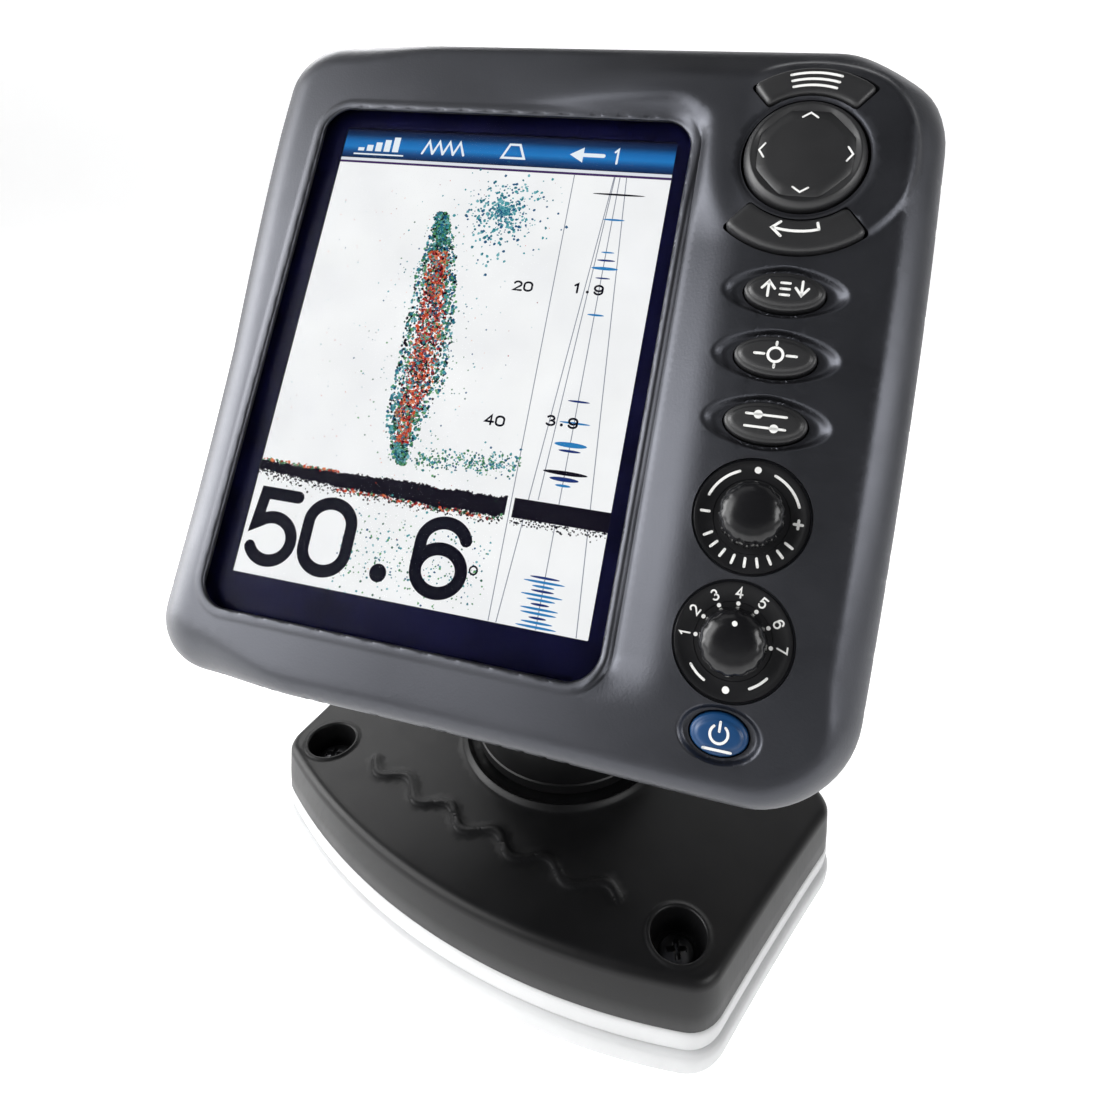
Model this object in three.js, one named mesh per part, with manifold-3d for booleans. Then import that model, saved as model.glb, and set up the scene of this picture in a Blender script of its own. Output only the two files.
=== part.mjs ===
// Fish finder on a tilt and swivel deck stand.
// Millimetres and degrees. +Z is up, +Y is to the back, and +X is to the right of a viewer in front.
// The origin is on the swivel axis, at the underside of the lowest deck pad.
//
// The stand is drawn in the object's own frame, and the display in the panel frame:
// x to the right, y up the screen, z out of the screen, with its origin at the screen's centre.
import * as THREE from "three";
import { mergeVertices } from "three/addons/utils/BufferGeometryUtils.js";
import Module from "manifold-3d";

const wasm = await Module();
wasm.setup();

// ---------------------------------------------------------------- driving dimensions
const GAP = 0.3; // clearance between pieces that touch
const SWIVEL_DEG = 14.47; // the stand's turn at rest
const LEAN_DEG = 33.27; // the screen's lean back from upright at rest

// Screen, panel frame.
const SCREEN = { w: 86.4, h: 115.2 }; // 5.7 inch diagonal, 3:4 portrait
const WINDOW = { x: -0.2, y: -2.5, w: SCREEN.w + 8.1, h: SCREEN.h + 11.8, r: 7 };

// Housing, panel frame.
const HOUSING = { x: 20.5, y: 0, w: 164, h: 164, r: 20 };
const FACE_Z = 6.7;
const RIM_R = 5.5;
const WALL = 3.5;
const FRONT_WALL = 3.3;
const SEAM_Z = -8;
const INNER = { ...HOUSING, r: 34 }; // the cavity: its wide corners leave room for the case screws
const SEAL = { ...HOUSING, r: 32 };
const BACK_Z = -44;
const BACK_FILLET = 8;
const BACK_DRAFT = 2.5;
const CASE_SCREW = { x: 74.2, y: 73.8, hole: 1.8, shank: 1.4, head: 3.4 };
const STANDOFF = { x: 56, y: 44, r: 3 };

// Keys and knobs, panel frame. They share one column.
const KEY_X = 72.6;
const DPAD = { y: 50.7, r: 12.9, hole: 13.5, top: 9.6 };
const MENU = { inner: 15.2, outer: 21.6, half: 36, top: 8.6 };
const ENTER = { inner: 15.2, outer: 22.4, half: 41, top: 8.2 };
const OVAL = { a: 8.3, b: 4.2, top: 7.9, dishA: 12.9, dishB: 5.1 };
const OVAL_KEYS = { range_key: 20, mark_key: 5.9, func_key: -8.2 };
const POWER = { y: -69.1, a: 5.7, b: 4.2, top: 7.4, dishA: 8.1, dishB: 5.1 };
const GAIN_Y = -27.4;
const MODE_Y = -51.7;
const DIAL = { r: 11.4, hole: 5, z0: 5.9, z1: 6.8 };
const KNOB = { r: 6.5, bottom: 8.1, top: 14.6, shaft: 3 };
const KEY_CLEAR = 0.4; // round each key in its hole
const KEY_BOTTOM = 1.6;

// Tilt pivot: below and behind the screen's centre, on the swivel axis.
const PIVOT = { x: HOUSING.x, y: -37.3, z: -60 };
const KNUCKLE = { half: 20, r: 12 };
const EAR = { inner: 22.6, outer: 28.6, r: 12 };
const PLATE = { w: 84, h: 52, back: -47.5 };
const TILT_KNOB = { from: 28.9, to: 44, r: 11.4 };

// Stand, object frame.
const PAD_H = 6.6;
const SPACER_H = 6.8;
const COVER_H = 15.9;
const COVER_Z = PAD_H + SPACER_H + 2 * GAP;
const DECK_Z = COVER_Z + COVER_H; // the cover's top face
const PIVOT_Z = DECK_Z + 69.55;
const TURRET = { r: 29.8, h: 18 };
const RING_R = 33.5;
const COVER_SCREWS = [
  ["front_left", -62.1, -45.5],
  ["front_right", 62.1, -45.5],
  ["rear_left", -66, 12],
  ["rear_right", 66, 12],
];
const WELL = { r: 7.1, depth: 9, wall: 2 };
const DECK_SCREW = { hole: 2.8, shank: 2.3, head: 4.7 };
const SPINDLE = { r: 4, insert: 7, bush: 6.1 }; // the swivel bolt, and what surrounds it
const BOLT_R = 4; // tilt bolt
const BRACKET_SCREW = { hole: 2.3, shank: 1.9, head: 3.6, dx: 36, dy: 19 };

// ---------------------------------------------------------------- solids
function solid(geometry) {
  const g = geometry.clone();
  g.deleteAttribute("normal");
  g.deleteAttribute("uv");
  const merged = mergeVertices(g, 1e-4);
  return new wasm.Manifold(
    new wasm.Mesh({
      numProp: 3,
      vertProperties: merged.attributes.position.array,
      triVerts: new Uint32Array(merged.index.array),
    }),
  );
}

function geometryOf(manifold) {
  const m = manifold.getMesh();
  const n = m.numProp;
  const v = new Float32Array(m.numVert * 3);
  for (let i = 0; i < m.numVert; i++) {
    v.set(m.vertProperties.subarray(i * n, i * n + 3), i * 3);
  }
  const g = new THREE.BufferGeometry();
  g.setAttribute("position", new THREE.BufferAttribute(v, 3));
  g.setIndex(new THREE.BufferAttribute(m.triVerts, 1));
  const flat = g.toNonIndexed();
  flat.computeVertexNormals();
  return flat;
}

const join = (first, ...rest) => rest.reduce((all, s) => all.add(s), first);
const cut = (first, ...rest) => rest.reduce((all, s) => all.subtract(s), first);

// ---------------------------------------------------------------- outlines, counter-clockwise
function rounded({ x = 0, y = 0, w, h, r }, inset = 0, steps = 5) {
  const hw = w / 2 - inset;
  const hh = h / 2 - inset;
  const cr = Math.max(r - inset, 0.6);
  const points = [];
  for (let corner = 0; corner < 4; corner++) {
    const sx = corner === 0 || corner === 3 ? 1 : -1;
    const sy = corner < 2 ? 1 : -1;
    for (let i = 0; i <= steps; i++) {
      const a = ((corner + i / steps) * Math.PI) / 2;
      const px = x + sx * (hw - cr) + cr * Math.cos(a);
      const py = y + sy * (hh - cr) + cr * Math.sin(a);
      points.push(new THREE.Vector2(px, py));
    }
  }
  return points;
}

function oval(x, y, a, b, steps = 18) {
  return Array.from({ length: steps }, (_, i) => {
    const t = (2 * Math.PI * i) / steps;
    return new THREE.Vector2(x + a * Math.cos(t), y + b * Math.sin(t));
  });
}

// A ring sector round (x, y), from inner to outer radius, centred on the direction middleDeg.
function sector(x, y, inner, outer, middleDeg, halfDeg, steps = 8) {
  const at = (r, d) => {
    const a = THREE.MathUtils.degToRad(d);
    return new THREE.Vector2(x + r * Math.cos(a), y + r * Math.sin(a));
  };
  const points = [];
  for (let i = 0; i <= steps; i++) {
    points.push(at(outer, middleDeg - halfDeg + (2 * halfDeg * i) / steps));
  }
  for (let i = steps; i >= 0; i--) {
    points.push(at(inner, middleDeg - halfDeg + (2 * halfDeg * i) / steps));
  }
  return points;
}

// An outline moved outwards by distance at every point.
function grown(points, distance) {
  const n = points.length;
  return points.map((p, i) => {
    const before = new THREE.Vector2().subVectors(p, points[(i + n - 1) % n]).normalize();
    const after = new THREE.Vector2().subVectors(points[(i + 1) % n], p).normalize();
    const normal = new THREE.Vector2(before.y + after.y, -before.x - after.x).normalize();
    const stretch = normal.x * after.y - normal.y * after.x;
    return new THREE.Vector2().copy(p).addScaledVector(normal, distance / stretch);
  });
}

// The stand's plan: a bowed front, sides that spread to the back, and a bowed back.
const PLAN = {
  frontX: 74,
  frontY: -53,
  frontMid: -67.5,
  sideX: 79.3,
  sideY: -19,
  backX: 86.6,
  backY: 15,
  backMid: 48,
  round: 5,
  steps: 10,
};
function plan(offset = 0) {
  const arcThrough = (x, y, mid, steps, sign) => {
    const rise = Math.abs(mid - y);
    const r = (x * x + rise * rise) / (2 * rise);
    const half = Math.asin(x / r) * (1 - PLAN.round / x);
    return Array.from({ length: steps + 1 }, (_, i) => {
      const a = sign * (-half + (2 * half * i) / steps);
      const bow = r - r * Math.cos(a);
      return new THREE.Vector2(r * Math.sin(a), mid + sign * bow);
    });
  };
  const front = arcThrough(PLAN.frontX, PLAN.frontY, PLAN.frontMid, PLAN.steps, 1);
  const back = arcThrough(PLAN.backX, PLAN.backY, PLAN.backMid, PLAN.steps, -1);
  const side = new THREE.QuadraticBezierCurve(
    new THREE.Vector2(PLAN.frontX, PLAN.frontY),
    new THREE.Vector2(PLAN.sideX, PLAN.sideY),
    new THREE.Vector2(PLAN.backX, PLAN.backY),
  );
  const corner = (from, apex, to, steps = 4) => {
    const c = new THREE.QuadraticBezierCurve(from, apex, to);
    return c.getPoints(steps).slice(1, -1);
  };
  const right = [0.08, 0.36, 0.64, 0.93].map((t) => side.getPoint(t));
  const left = [...right].reverse().map((p) => new THREE.Vector2(-p.x, p.y));
  const at = (s, x, y) => new THREE.Vector2(s * x, y);
  const points = [
    ...front,
    ...corner(front.at(-1), at(1, PLAN.frontX, PLAN.frontY), right[0]),
    ...right,
    ...corner(right.at(-1), at(1, PLAN.backX, PLAN.backY), back[0]),
    ...back,
    ...corner(back.at(-1), at(-1, PLAN.backX, PLAN.backY), left[0]),
    ...left,
    ...corner(left.at(-1), at(-1, PLAN.frontX, PLAN.frontY), front[0]),
  ];
  return offset === 0 ? points : grown(points, offset);
}

// ---------------------------------------------------------------- forms
// A closed skin over outlines of equal point counts, each at its own height, lowest first.
function loft(levels) {
  const n = levels[0].points.length;
  const position = [];
  const index = [];
  for (const { z, points } of levels) {
    for (const p of points) position.push(p.x, p.y, z);
  }
  for (let k = 0; k + 1 < levels.length; k++) {
    for (let i = 0; i < n; i++) {
      const j = (i + 1) % n;
      const [a, b, c, d] = [k * n + i, k * n + j, (k + 1) * n + j, (k + 1) * n + i];
      index.push(a, b, c, a, c, d);
    }
  }
  const top = (levels.length - 1) * n;
  for (const [a, b, c] of THREE.ShapeUtils.triangulateShape(levels[0].points, [])) {
    index.push(a, c, b);
  }
  for (const [a, b, c] of THREE.ShapeUtils.triangulateShape(levels.at(-1).points, [])) {
    index.push(top + a, top + b, top + c);
  }
  const g = new THREE.BufferGeometry();
  g.setAttribute("position", new THREE.Float32BufferAttribute(position, 3));
  g.setIndex(index);
  return solid(g);
}

// A straight prism from z0 to z1, with optional holes.
function prism(points, z0, z1, holes = []) {
  const shape = new THREE.Shape(points);
  shape.holes = holes.map((h) => new THREE.Path(h));
  const g = new THREE.ExtrudeGeometry(shape, { depth: z1 - z0, bevelEnabled: false });
  g.translate(0, 0, z0);
  return solid(g);
}

function disc(x, y, r, z0, z1, steps = 18) {
  const g = new THREE.CylinderGeometry(r, r, z1 - z0, steps);
  g.rotateX(Math.PI / 2);
  g.translate(x, y, (z0 + z1) / 2);
  return solid(g);
}

// A cylinder along X, from x0 to x1, round the point (y, z).
function pin(y, z, r, x0, x1, steps = 18) {
  const g = new THREE.CylinderGeometry(r, r, x1 - x0, steps);
  g.rotateZ(Math.PI / 2);
  g.translate((x0 + x1) / 2, y, z);
  return solid(g);
}

function box(x0, x1, y0, y1, z0, z1) {
  const g = new THREE.BoxGeometry(x1 - x0, y1 - y0, z1 - z0);
  g.translate((x0 + x1) / 2, (y0 + y1) / 2, (z0 + z1) / 2);
  return solid(g);
}

// A turned piece round the Z line through (x, y): profile rows are [radius, height], bottom to top.
function turned(x, y, profile, steps = 20) {
  const points = profile.map(([r, z]) => new THREE.Vector2(r, z));
  const g = new THREE.LatheGeometry(points, steps);
  g.rotateX(Math.PI / 2);
  g.translate(x, y, 0);
  return solid(g);
}

// A turned ring with a closed profile: outer wall up, inner wall down.
function ringOf(x, y, inner, outer, z0, z1, steps = 20) {
  const profile = [
    [inner, z0],
    [outer, z0],
    [outer, z1],
    [inner, z1],
    [inner, z0],
  ];
  return turned(x, y, profile, steps);
}

// A plate drawn in the panel's side view, as [y, z] rows, and spread from x0 to x1.
function sidePlate(rows, x0, x1) {
  const shape = new THREE.Shape(rows.map(([y, z]) => new THREE.Vector2(y, z)));
  const g = new THREE.ExtrudeGeometry(shape, { depth: x1 - x0, bevelEnabled: false });
  // The outline's axes become y and z, and its depth becomes x.
  const m = new THREE.Matrix4().set(0, 0, 1, x0, 1, 0, 0, 0, 0, 1, 0, 0, 0, 0, 0, 1);
  g.applyMatrix4(m);
  return solid(g);
}

// ---------------------------------------------------------------- scene graph
const product = new THREE.Group();
const swivel = new THREE.Group();
swivel.rotation.z = THREE.MathUtils.degToRad(SWIVEL_DEG);
const tilt = new THREE.Group();
tilt.position.z = PIVOT_Z;
tilt.rotation.x = THREE.MathUtils.degToRad(90 - LEAN_DEG);
const panel = new THREE.Group();
panel.position.set(-PIVOT.x, -PIVOT.y, -PIVOT.z);
product.add(swivel);
swivel.add(tilt);
tilt.add(panel);

const FINISH = {
  charcoal: [0x2b2b2e, 0.55, 0],
  black: [0x17171a, 0.5, 0],
  keyBlack: [0x1e1e20, 0.45, 0],
  blue: [0x1f5f9e, 0.35, 0],
  white: [0xe9eaea, 0.6, 0],
  rubber: [0x1a1a1a, 0.85, 0],
  glass: [0x0c0f16, 0.08, 0],
  screen: [0xcfd6de, 0.3, 0],
  board: [0x1f5a36, 0.6, 0],
  steel: [0xb4b6b8, 0.35, 1],
  brass: [0xb48a45, 0.35, 1],
  acetal: [0xd8d8d2, 0.5, 0],
};
function add(parent, name, manifold, finish) {
  const [color, roughness, metalness] = FINISH[finish];
  const material = new THREE.MeshStandardMaterial({ color, roughness, metalness });
  const mesh = new THREE.Mesh(geometryOf(manifold), material);
  mesh.name = name;
  parent.add(mesh);
}

// ---------------------------------------------------------------- stand
function makeCover() {
  const levels = [
    { z: COVER_Z, points: plan(1.8) },
    { z: DECK_Z - 2.4, points: plan(0.3) },
    { z: DECK_Z - 0.7, points: plan(-0.5) },
    { z: DECK_Z, points: plan(-2.2) },
  ];
  const hollow = [
    { z: COVER_Z - 1, points: plan(-2.2) },
    { z: DECK_Z - WALL, points: plan(-3.6) },
  ];
  let shell = cut(loft(levels), loft(hollow));
  const bottom = DECK_Z - WELL.depth - 3;
  for (const [, x, y] of COVER_SCREWS) {
    shell = shell.add(disc(x, y, WELL.r + WELL.wall, bottom, DECK_Z - 1, 16));
    shell = shell.subtract(disc(x, y, WELL.r, DECK_Z - WELL.depth, DECK_Z + 1, 18));
    shell = shell.subtract(disc(x, y, DECK_SCREW.hole, bottom - 1, DECK_Z, 10));
  }
  shell = shell.add(disc(0, 0, 16, DECK_Z - 9, DECK_Z - 1, 24));
  shell = shell.subtract(disc(0, 0, SPINDLE.bush + GAP, DECK_Z - 10, DECK_Z + 1, 20));
  const bead = turned(0, 0, [
    [RING_R - 1.3, DECK_Z - 1],
    [RING_R + 1.3, DECK_Z - 1],
    [RING_R, DECK_Z + 1.5],
    [RING_R - 1.3, DECK_Z - 1],
  ], 32);
  return shell.add(bead);
}

function makeDeckPlate(z0, z1, offset) {
  let plate = loft([
    { z: z0, points: plan(offset - 0.4) },
    { z: z0 + 0.8, points: plan(offset) },
    { z: z1 - 0.8, points: plan(offset) },
    { z: z1, points: plan(offset - 0.6) },
  ]);
  for (const [, x, y] of COVER_SCREWS) {
    plate = plate.subtract(disc(x, y, DECK_SCREW.hole, z0 - 1, z1 + 1, 10));
  }
  return plate;
}

function makeCoverScrew(x, y) {
  const { shank, head } = DECK_SCREW;
  const seat = DECK_Z - WELL.depth + GAP;
  return turned(x, y, [
    [0, 0.6],
    [shank, 0.6],
    [shank, seat],
    [head, seat],
    [head, seat + 1.8],
    [head - 1.3, seat + 3],
    [0, seat + 3.3],
  ], 14);
}

function makeTurret() {
  const z0 = DECK_Z + 1.6;
  const z1 = z0 + TURRET.h;
  const drum = turned(0, 0, [
    [0, z0],
    [TURRET.r, z0],
    [TURRET.r, z1 - 2.5],
    [TURRET.r - 0.8, z1 - 0.7],
    [TURRET.r - 2.6, z1],
    [0, z1],
  ], 32);
  const under = ringOf(0, 0, 11, TURRET.r - 3.5, z0 - 1, z1 - 4, 24);
  const neckRows = [
    [-13, z1 - 2],
    [13, z1 - 2],
    [10, PIVOT_Z - 20],
    [9, PIVOT_Z],
    [-9, PIVOT_Z],
    [-10, PIVOT_Z - 20],
  ];
  const neck = sidePlate(neckRows, -KNUCKLE.half, KNUCKLE.half);
  const knuckle = pin(0, PIVOT_Z, KNUCKLE.r, -KNUCKLE.half, KNUCKLE.half, 24);
  const body = join(cut(drum, under), neck, knuckle);
  const bolt = pin(0, PIVOT_Z, BOLT_R + GAP, -KNUCKLE.half - 1, KNUCKLE.half + 1, 20);
  return cut(body, bolt, disc(0, 0, SPINDLE.insert + GAP, z0 - 1, z0 + 14, 20));
}

function makeSpindleBolt() {
  const head = prism(oval(0, 0, 7.5, 7.5, 6), DECK_Z - 15.2, DECK_Z - 10.6);
  const shank = disc(0, 0, SPINDLE.r, DECK_Z - 11, DECK_Z + 14, 20);
  return head.add(shank);
}

add(product, "deck_pad", makeDeckPlate(0, PAD_H, 4), "white");
add(product, "deck_spacer", makeDeckPlate(PAD_H + GAP, PAD_H + GAP + SPACER_H, 2.4), "white");
add(product, "base_cover", makeCover(), "black");
for (const [place, x, y] of COVER_SCREWS) {
  add(product, "base_screw_" + place, makeCoverScrew(x, y), "steel");
}
const aroundSpindle = SPINDLE.r + 0.4;
const bush = ringOf(0, 0, aroundSpindle, SPINDLE.bush, DECK_Z - 9, DECK_Z - GAP, 20);
add(product, "swivel_bush", bush, "acetal");
add(product, "wave_washer", ringOf(0, 0, aroundSpindle, 9, DECK_Z - 10.3, DECK_Z - 9.3, 20), "steel");
add(product, "swivel_washer", ringOf(0, 0, 10, 26, DECK_Z + GAP, DECK_Z + 1.3, 32), "acetal");
add(swivel, "turret", makeTurret(), "black");
const insert = ringOf(0, 0, SPINDLE.r + GAP, SPINDLE.insert, DECK_Z + 2, DECK_Z + 15, 20);
add(swivel, "turret_insert", insert, "brass");
add(swivel, "spindle_bolt", makeSpindleBolt(), "steel");
const boltEnd = TILT_KNOB.to - 4;
add(swivel, "tilt_bolt", pin(0, PIVOT_Z, BOLT_R, -boltEnd, boltEnd, 20), "steel");

// ---------------------------------------------------------------- tilt joint, on the display's side
// A piece drawn along x from the pivot, on the right (side 1) or the left (side -1).
const span = (side, near, far) => {
  const ends = [PIVOT.x + side * near, PIVOT.x + side * far];
  return ends.sort((a, b) => a - b);
};

function makeEar(side) {
  const rows = [
    [PIVOT.y + 22, PLATE.back + 1],
    [PIVOT.y - 22, PLATE.back + 1],
  ];
  const steps = 10;
  for (let i = 0; i <= steps; i++) {
    const a = Math.PI + 0.3 + ((Math.PI - 0.6) * i) / steps;
    rows.push([PIVOT.y + EAR.r * Math.cos(a), PIVOT.z + EAR.r * Math.sin(a)]);
  }
  return sidePlate(rows, ...span(side, EAR.inner, EAR.outer));
}

function makeBracket() {
  const plate = { x: PIVOT.x, y: PIVOT.y, w: PLATE.w, h: PLATE.h, r: 6 };
  let body = prism(rounded(plate, 0, 4), PLATE.back, BACK_Z - GAP);
  body = join(body, makeEar(1), makeEar(-1));
  const reach = EAR.outer + 1;
  const hole = pin(PIVOT.y, PIVOT.z, BOLT_R + GAP, PIVOT.x - reach, PIVOT.x + reach, 20);
  body = body.subtract(hole);
  for (const [, x, y] of bracketScrews()) {
    body = body.subtract(disc(x, y, BRACKET_SCREW.hole, PLATE.back - 1, BACK_Z + 1, 12));
  }
  return body;
}

function bracketScrews() {
  const places = [];
  for (const [row, sy] of [["upper", 1], ["lower", -1]]) {
    for (const [column, sx] of [["left", -1], ["right", 1]]) {
      const x = PIVOT.x + sx * BRACKET_SCREW.dx;
      places.push([row + "_" + column, x, PIVOT.y + sy * BRACKET_SCREW.dy]);
    }
  }
  return places;
}

function makeTiltKnob(side) {
  const [x0, x1] = span(side, TILT_KNOB.from, TILT_KNOB.to);
  let body = pin(PIVOT.y, PIVOT.z, TILT_KNOB.r, ...span(side, 33, TILT_KNOB.to), 30);
  body = body.add(pin(PIVOT.y, PIVOT.z, 8, x0, x1, 24));
  const lobes = 6;
  const far = TILT_KNOB.r + 1.8;
  for (let i = 0; i < lobes; i++) {
    const a = (2 * Math.PI * i) / lobes;
    const y = PIVOT.y + far * Math.cos(a);
    const z = PIVOT.z + far * Math.sin(a);
    body = body.subtract(pin(y, z, 4, ...span(side, 32, TILT_KNOB.to + 1), 14));
  }
  const depth = span(side, TILT_KNOB.from - 1, TILT_KNOB.to - 3.6);
  const bore = pin(PIVOT.y, PIVOT.z, BOLT_R + GAP, ...depth, 20);
  return body.subtract(bore);
}

// A pan-head screw along the panel's z: head behind seat, shank forward to tip.
function makeRearScrew(x, y, seat, tip, headR, headH, shankR) {
  return turned(x, y, [
    [0, seat - headH],
    [headR - 1, seat - headH],
    [headR, seat - headH + 1],
    [headR, seat],
    [shankR, seat],
    [shankR, tip],
    [0, tip],
  ], 12);
}

function makeTiltWasher(side) {
  const [x0, x1] = span(side, KNUCKLE.half + GAP, EAR.inner - GAP);
  const outer = pin(PIVOT.y, PIVOT.z, 11, x0, x1, 24);
  return outer.subtract(pin(PIVOT.y, PIVOT.z, BOLT_R + 0.4, x0 - 1, x1 + 1, 20));
}

add(panel, "tilt_bracket", makeBracket(), "black");
for (const [place, x, y] of bracketScrews()) {
  const { head, shank } = BRACKET_SCREW;
  const screw = makeRearScrew(x, y, PLATE.back - GAP, BACK_Z + 8, head, 2.8, shank);
  add(panel, "bracket_screw_" + place, screw, "steel");
}
for (const [name, side] of [["left", -1], ["right", 1]]) {
  add(panel, "tilt_washer_" + name, makeTiltWasher(side), "rubber");
  add(panel, "tilt_knob_" + name, makeTiltKnob(side), "black");
}

// ---------------------------------------------------------------- housing
const caseScrews = [];
for (const [row, sy] of [["upper", 1], ["lower", -1]]) {
  for (const [column, sx] of [["left", -1], ["right", 1]]) {
    caseScrews.push([row + "_" + column, HOUSING.x + sx * CASE_SCREW.x, sy * CASE_SCREW.y]);
  }
}

const SOCKETS = [
  { name: "power_socket", x: -38, y: -30, r: 9.5, bore: 7.4, tail: 7, pins: 3, ring: 3 },
  { name: "transducer_socket", x: -38, y: -56, r: 11, bore: 9, tail: 8, pins: 6, ring: 4.6 },
];
const SOCKET_DEPTH = 9;
const GROUND = { x: 88, y: -56, hole: 2.4, stud: 2 };

function makeFrontHousing() {
  const levels = [{ z: SEAM_Z, points: rounded(HOUSING) }];
  for (let i = 0; i <= 3; i++) {
    const a = (Math.PI / 2) * (i / 3);
    const inset = RIM_R * (1 - Math.cos(a));
    levels.push({ z: FACE_Z - RIM_R + RIM_R * Math.sin(a), points: rounded(HOUSING, inset) });
  }
  const inside = prism(rounded(INNER, WALL), SEAM_Z - 1, FACE_Z - FRONT_WALL);
  let body = cut(loft(levels), inside);
  for (const [, x, y] of caseScrews) {
    body = body.subtract(disc(x, y, CASE_SCREW.hole, SEAM_Z - 1, FACE_Z - 5, 10));
  }
  body = body.subtract(prism(rounded(WINDOW, 0, 4), 0, FACE_Z + 1));

  const through = (points) => prism(points, 0, FACE_Z + 1);
  const dish = (x, y, a, b, depth) => prism(oval(x, y, a, b, 20), FACE_Z - depth, FACE_Z + 1);
  const c = KEY_CLEAR;
  for (const y of Object.values(OVAL_KEYS)) {
    body = cut(body, through(oval(KEY_X, y, OVAL.a + c, OVAL.b + c)));
    body = cut(body, dish(KEY_X, y, OVAL.dishA, OVAL.dishB, 1.4));
  }
  body = cut(body, through(oval(KEY_X, POWER.y, POWER.a + c, POWER.b + c)));
  body = cut(body, dish(KEY_X, POWER.y, POWER.dishA, POWER.dishB, 1.4));
  body = cut(body, disc(KEY_X, DPAD.y, DPAD.hole, 0, FACE_Z + 1, 28));
  const arc = (k, mid) => sector(KEY_X, DPAD.y, k.inner - c, k.outer + c, mid, k.half + 1.3);
  body = cut(body, through(arc(MENU, 90)), through(arc(ENTER, -90)));
  for (const y of [GAIN_Y, MODE_Y]) {
    body = cut(body, disc(KEY_X, y, DIAL.r + c, DIAL.z0 - GAP, FACE_Z + 1, 24));
    body = cut(body, disc(KEY_X, y, DIAL.hole, 0, FACE_Z + 1, 16));
  }
  return body;
}

function makeRearHousing() {
  const levels = [];
  for (let i = 3; i >= 0; i--) {
    const a = (Math.PI / 2) * (i / 3);
    const inset = BACK_DRAFT + BACK_FILLET * (1 - Math.cos(a));
    const z = BACK_Z + BACK_FILLET - BACK_FILLET * Math.sin(a);
    levels.push({ z, points: rounded(HOUSING, inset) });
  }
  const top = SEAM_Z - GAP;
  levels.push({ z: top, points: rounded(HOUSING) });
  const hollow = loft([
    { z: BACK_Z + 3, points: rounded(INNER, 10) },
    { z: BACK_Z + 6, points: rounded(INNER, 6.6) },
    { z: top + 1, points: rounded(INNER, WALL) },
  ]);
  let body = cut(loft(levels), hollow);
  const groove = cut(
    prism(rounded(SEAL, 0.85), top - 1.6, top + 1),
    prism(rounded(SEAL, 2.65), top - 2, top + 2),
  );
  body = cut(body, groove);
  for (const [, x, y] of caseScrews) {
    body = body.subtract(disc(x, y, CASE_SCREW.head + 0.6, BACK_Z - 1, BACK_Z + 14, 14));
    body = body.subtract(disc(x, y, CASE_SCREW.hole, BACK_Z, top + 1, 10));
  }
  for (const sx of [-1, 1]) {
    for (const sy of [-1, 1]) {
      const [x, y] = [HOUSING.x + sx * STANDOFF.x, sy * STANDOFF.y];
      body = body.add(disc(x, y, STANDOFF.r, BACK_Z + 1, -16.3, 8));
    }
  }
  for (const [, x, y] of bracketScrews()) {
    body = body.add(disc(x, y, 4, BACK_Z + 1, BACK_Z + 10, 10));
    body = body.subtract(disc(x, y, 2.2, BACK_Z - 1, BACK_Z + 9, 10));
  }
  for (const s of SOCKETS) {
    body = body.subtract(disc(s.x, s.y, s.tail + 0.4, BACK_Z - 1, BACK_Z + 4, 20));
  }
  body = body.subtract(disc(GROUND.x, GROUND.y, GROUND.hole, BACK_Z - 1, BACK_Z + 4, 12));
  return body;
}

function makeSocket(s) {
  const face = BACK_Z - GAP;
  const end = face - 2 - SOCKET_DEPTH;
  let body = disc(s.x, s.y, s.r + 2.2, face - 2, face, 20);
  body = body.add(disc(s.x, s.y, s.r, end, face - 1, 20));
  body = body.add(disc(s.x, s.y, s.tail, face - 1, BACK_Z + 9, 20));
  body = body.subtract(disc(s.x, s.y, s.bore, end - 1, face - 2, 20));
  for (let i = 0; i < s.pins; i++) {
    const a = (2 * Math.PI * i) / s.pins;
    const x = s.x + s.ring * Math.cos(a);
    const y = s.y + s.ring * Math.sin(a);
    body = body.add(disc(x, y, 0.7, face - 5, face - 1, 6));
  }
  return body;
}

function makeGroundTerminal() {
  const { x, y } = GROUND;
  const face = BACK_Z - GAP;
  const stud = disc(x, y, GROUND.stud, face - 9, BACK_Z + 7, 14);
  const nut = prism(oval(x, y, 4.6, 4.6, 6), face - 5.2, face - 1.6);
  const washer = disc(x, y, 5, face - 2, face, 20);
  return join(stud, nut, washer);
}

function makeSeal() {
  const z0 = SEAM_Z - GAP - 1.3;
  return prism(rounded(SEAL, 1.15), z0, SEAM_Z - GAP, [rounded(SEAL, 2.35)]);
}

add(panel, "front_housing", makeFrontHousing(), "charcoal");
add(panel, "rear_housing", makeRearHousing(), "charcoal");
add(panel, "housing_seal", makeSeal(), "rubber");
for (const [place, x, y] of caseScrews) {
  const { head, shank } = CASE_SCREW;
  const screw = makeRearScrew(x, y, BACK_Z + 14 - GAP, FACE_Z - 6, head, 3, shank);
  add(panel, "rear_screw_" + place, screw, "steel");
}
for (const s of SOCKETS) add(panel, s.name, makeSocket(s), "black");
add(panel, "ground_terminal", makeGroundTerminal(), "brass");

// ---------------------------------------------------------------- screen
const stack = { x: 0, y: WINDOW.y, w: 101, h: 133, r: 3 };
const cell = { x: 0, y: WINDOW.y, w: 94, h: 127.4, r: 1 };
const lensSize = { x: WINDOW.x, y: WINDOW.y, w: 99, h: 131.4, r: 5 };
const gasketHole = rounded({ ...lensSize, w: WINDOW.w + 0.4, h: WINDOW.h + 0.4 }, 0, 3);

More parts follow.
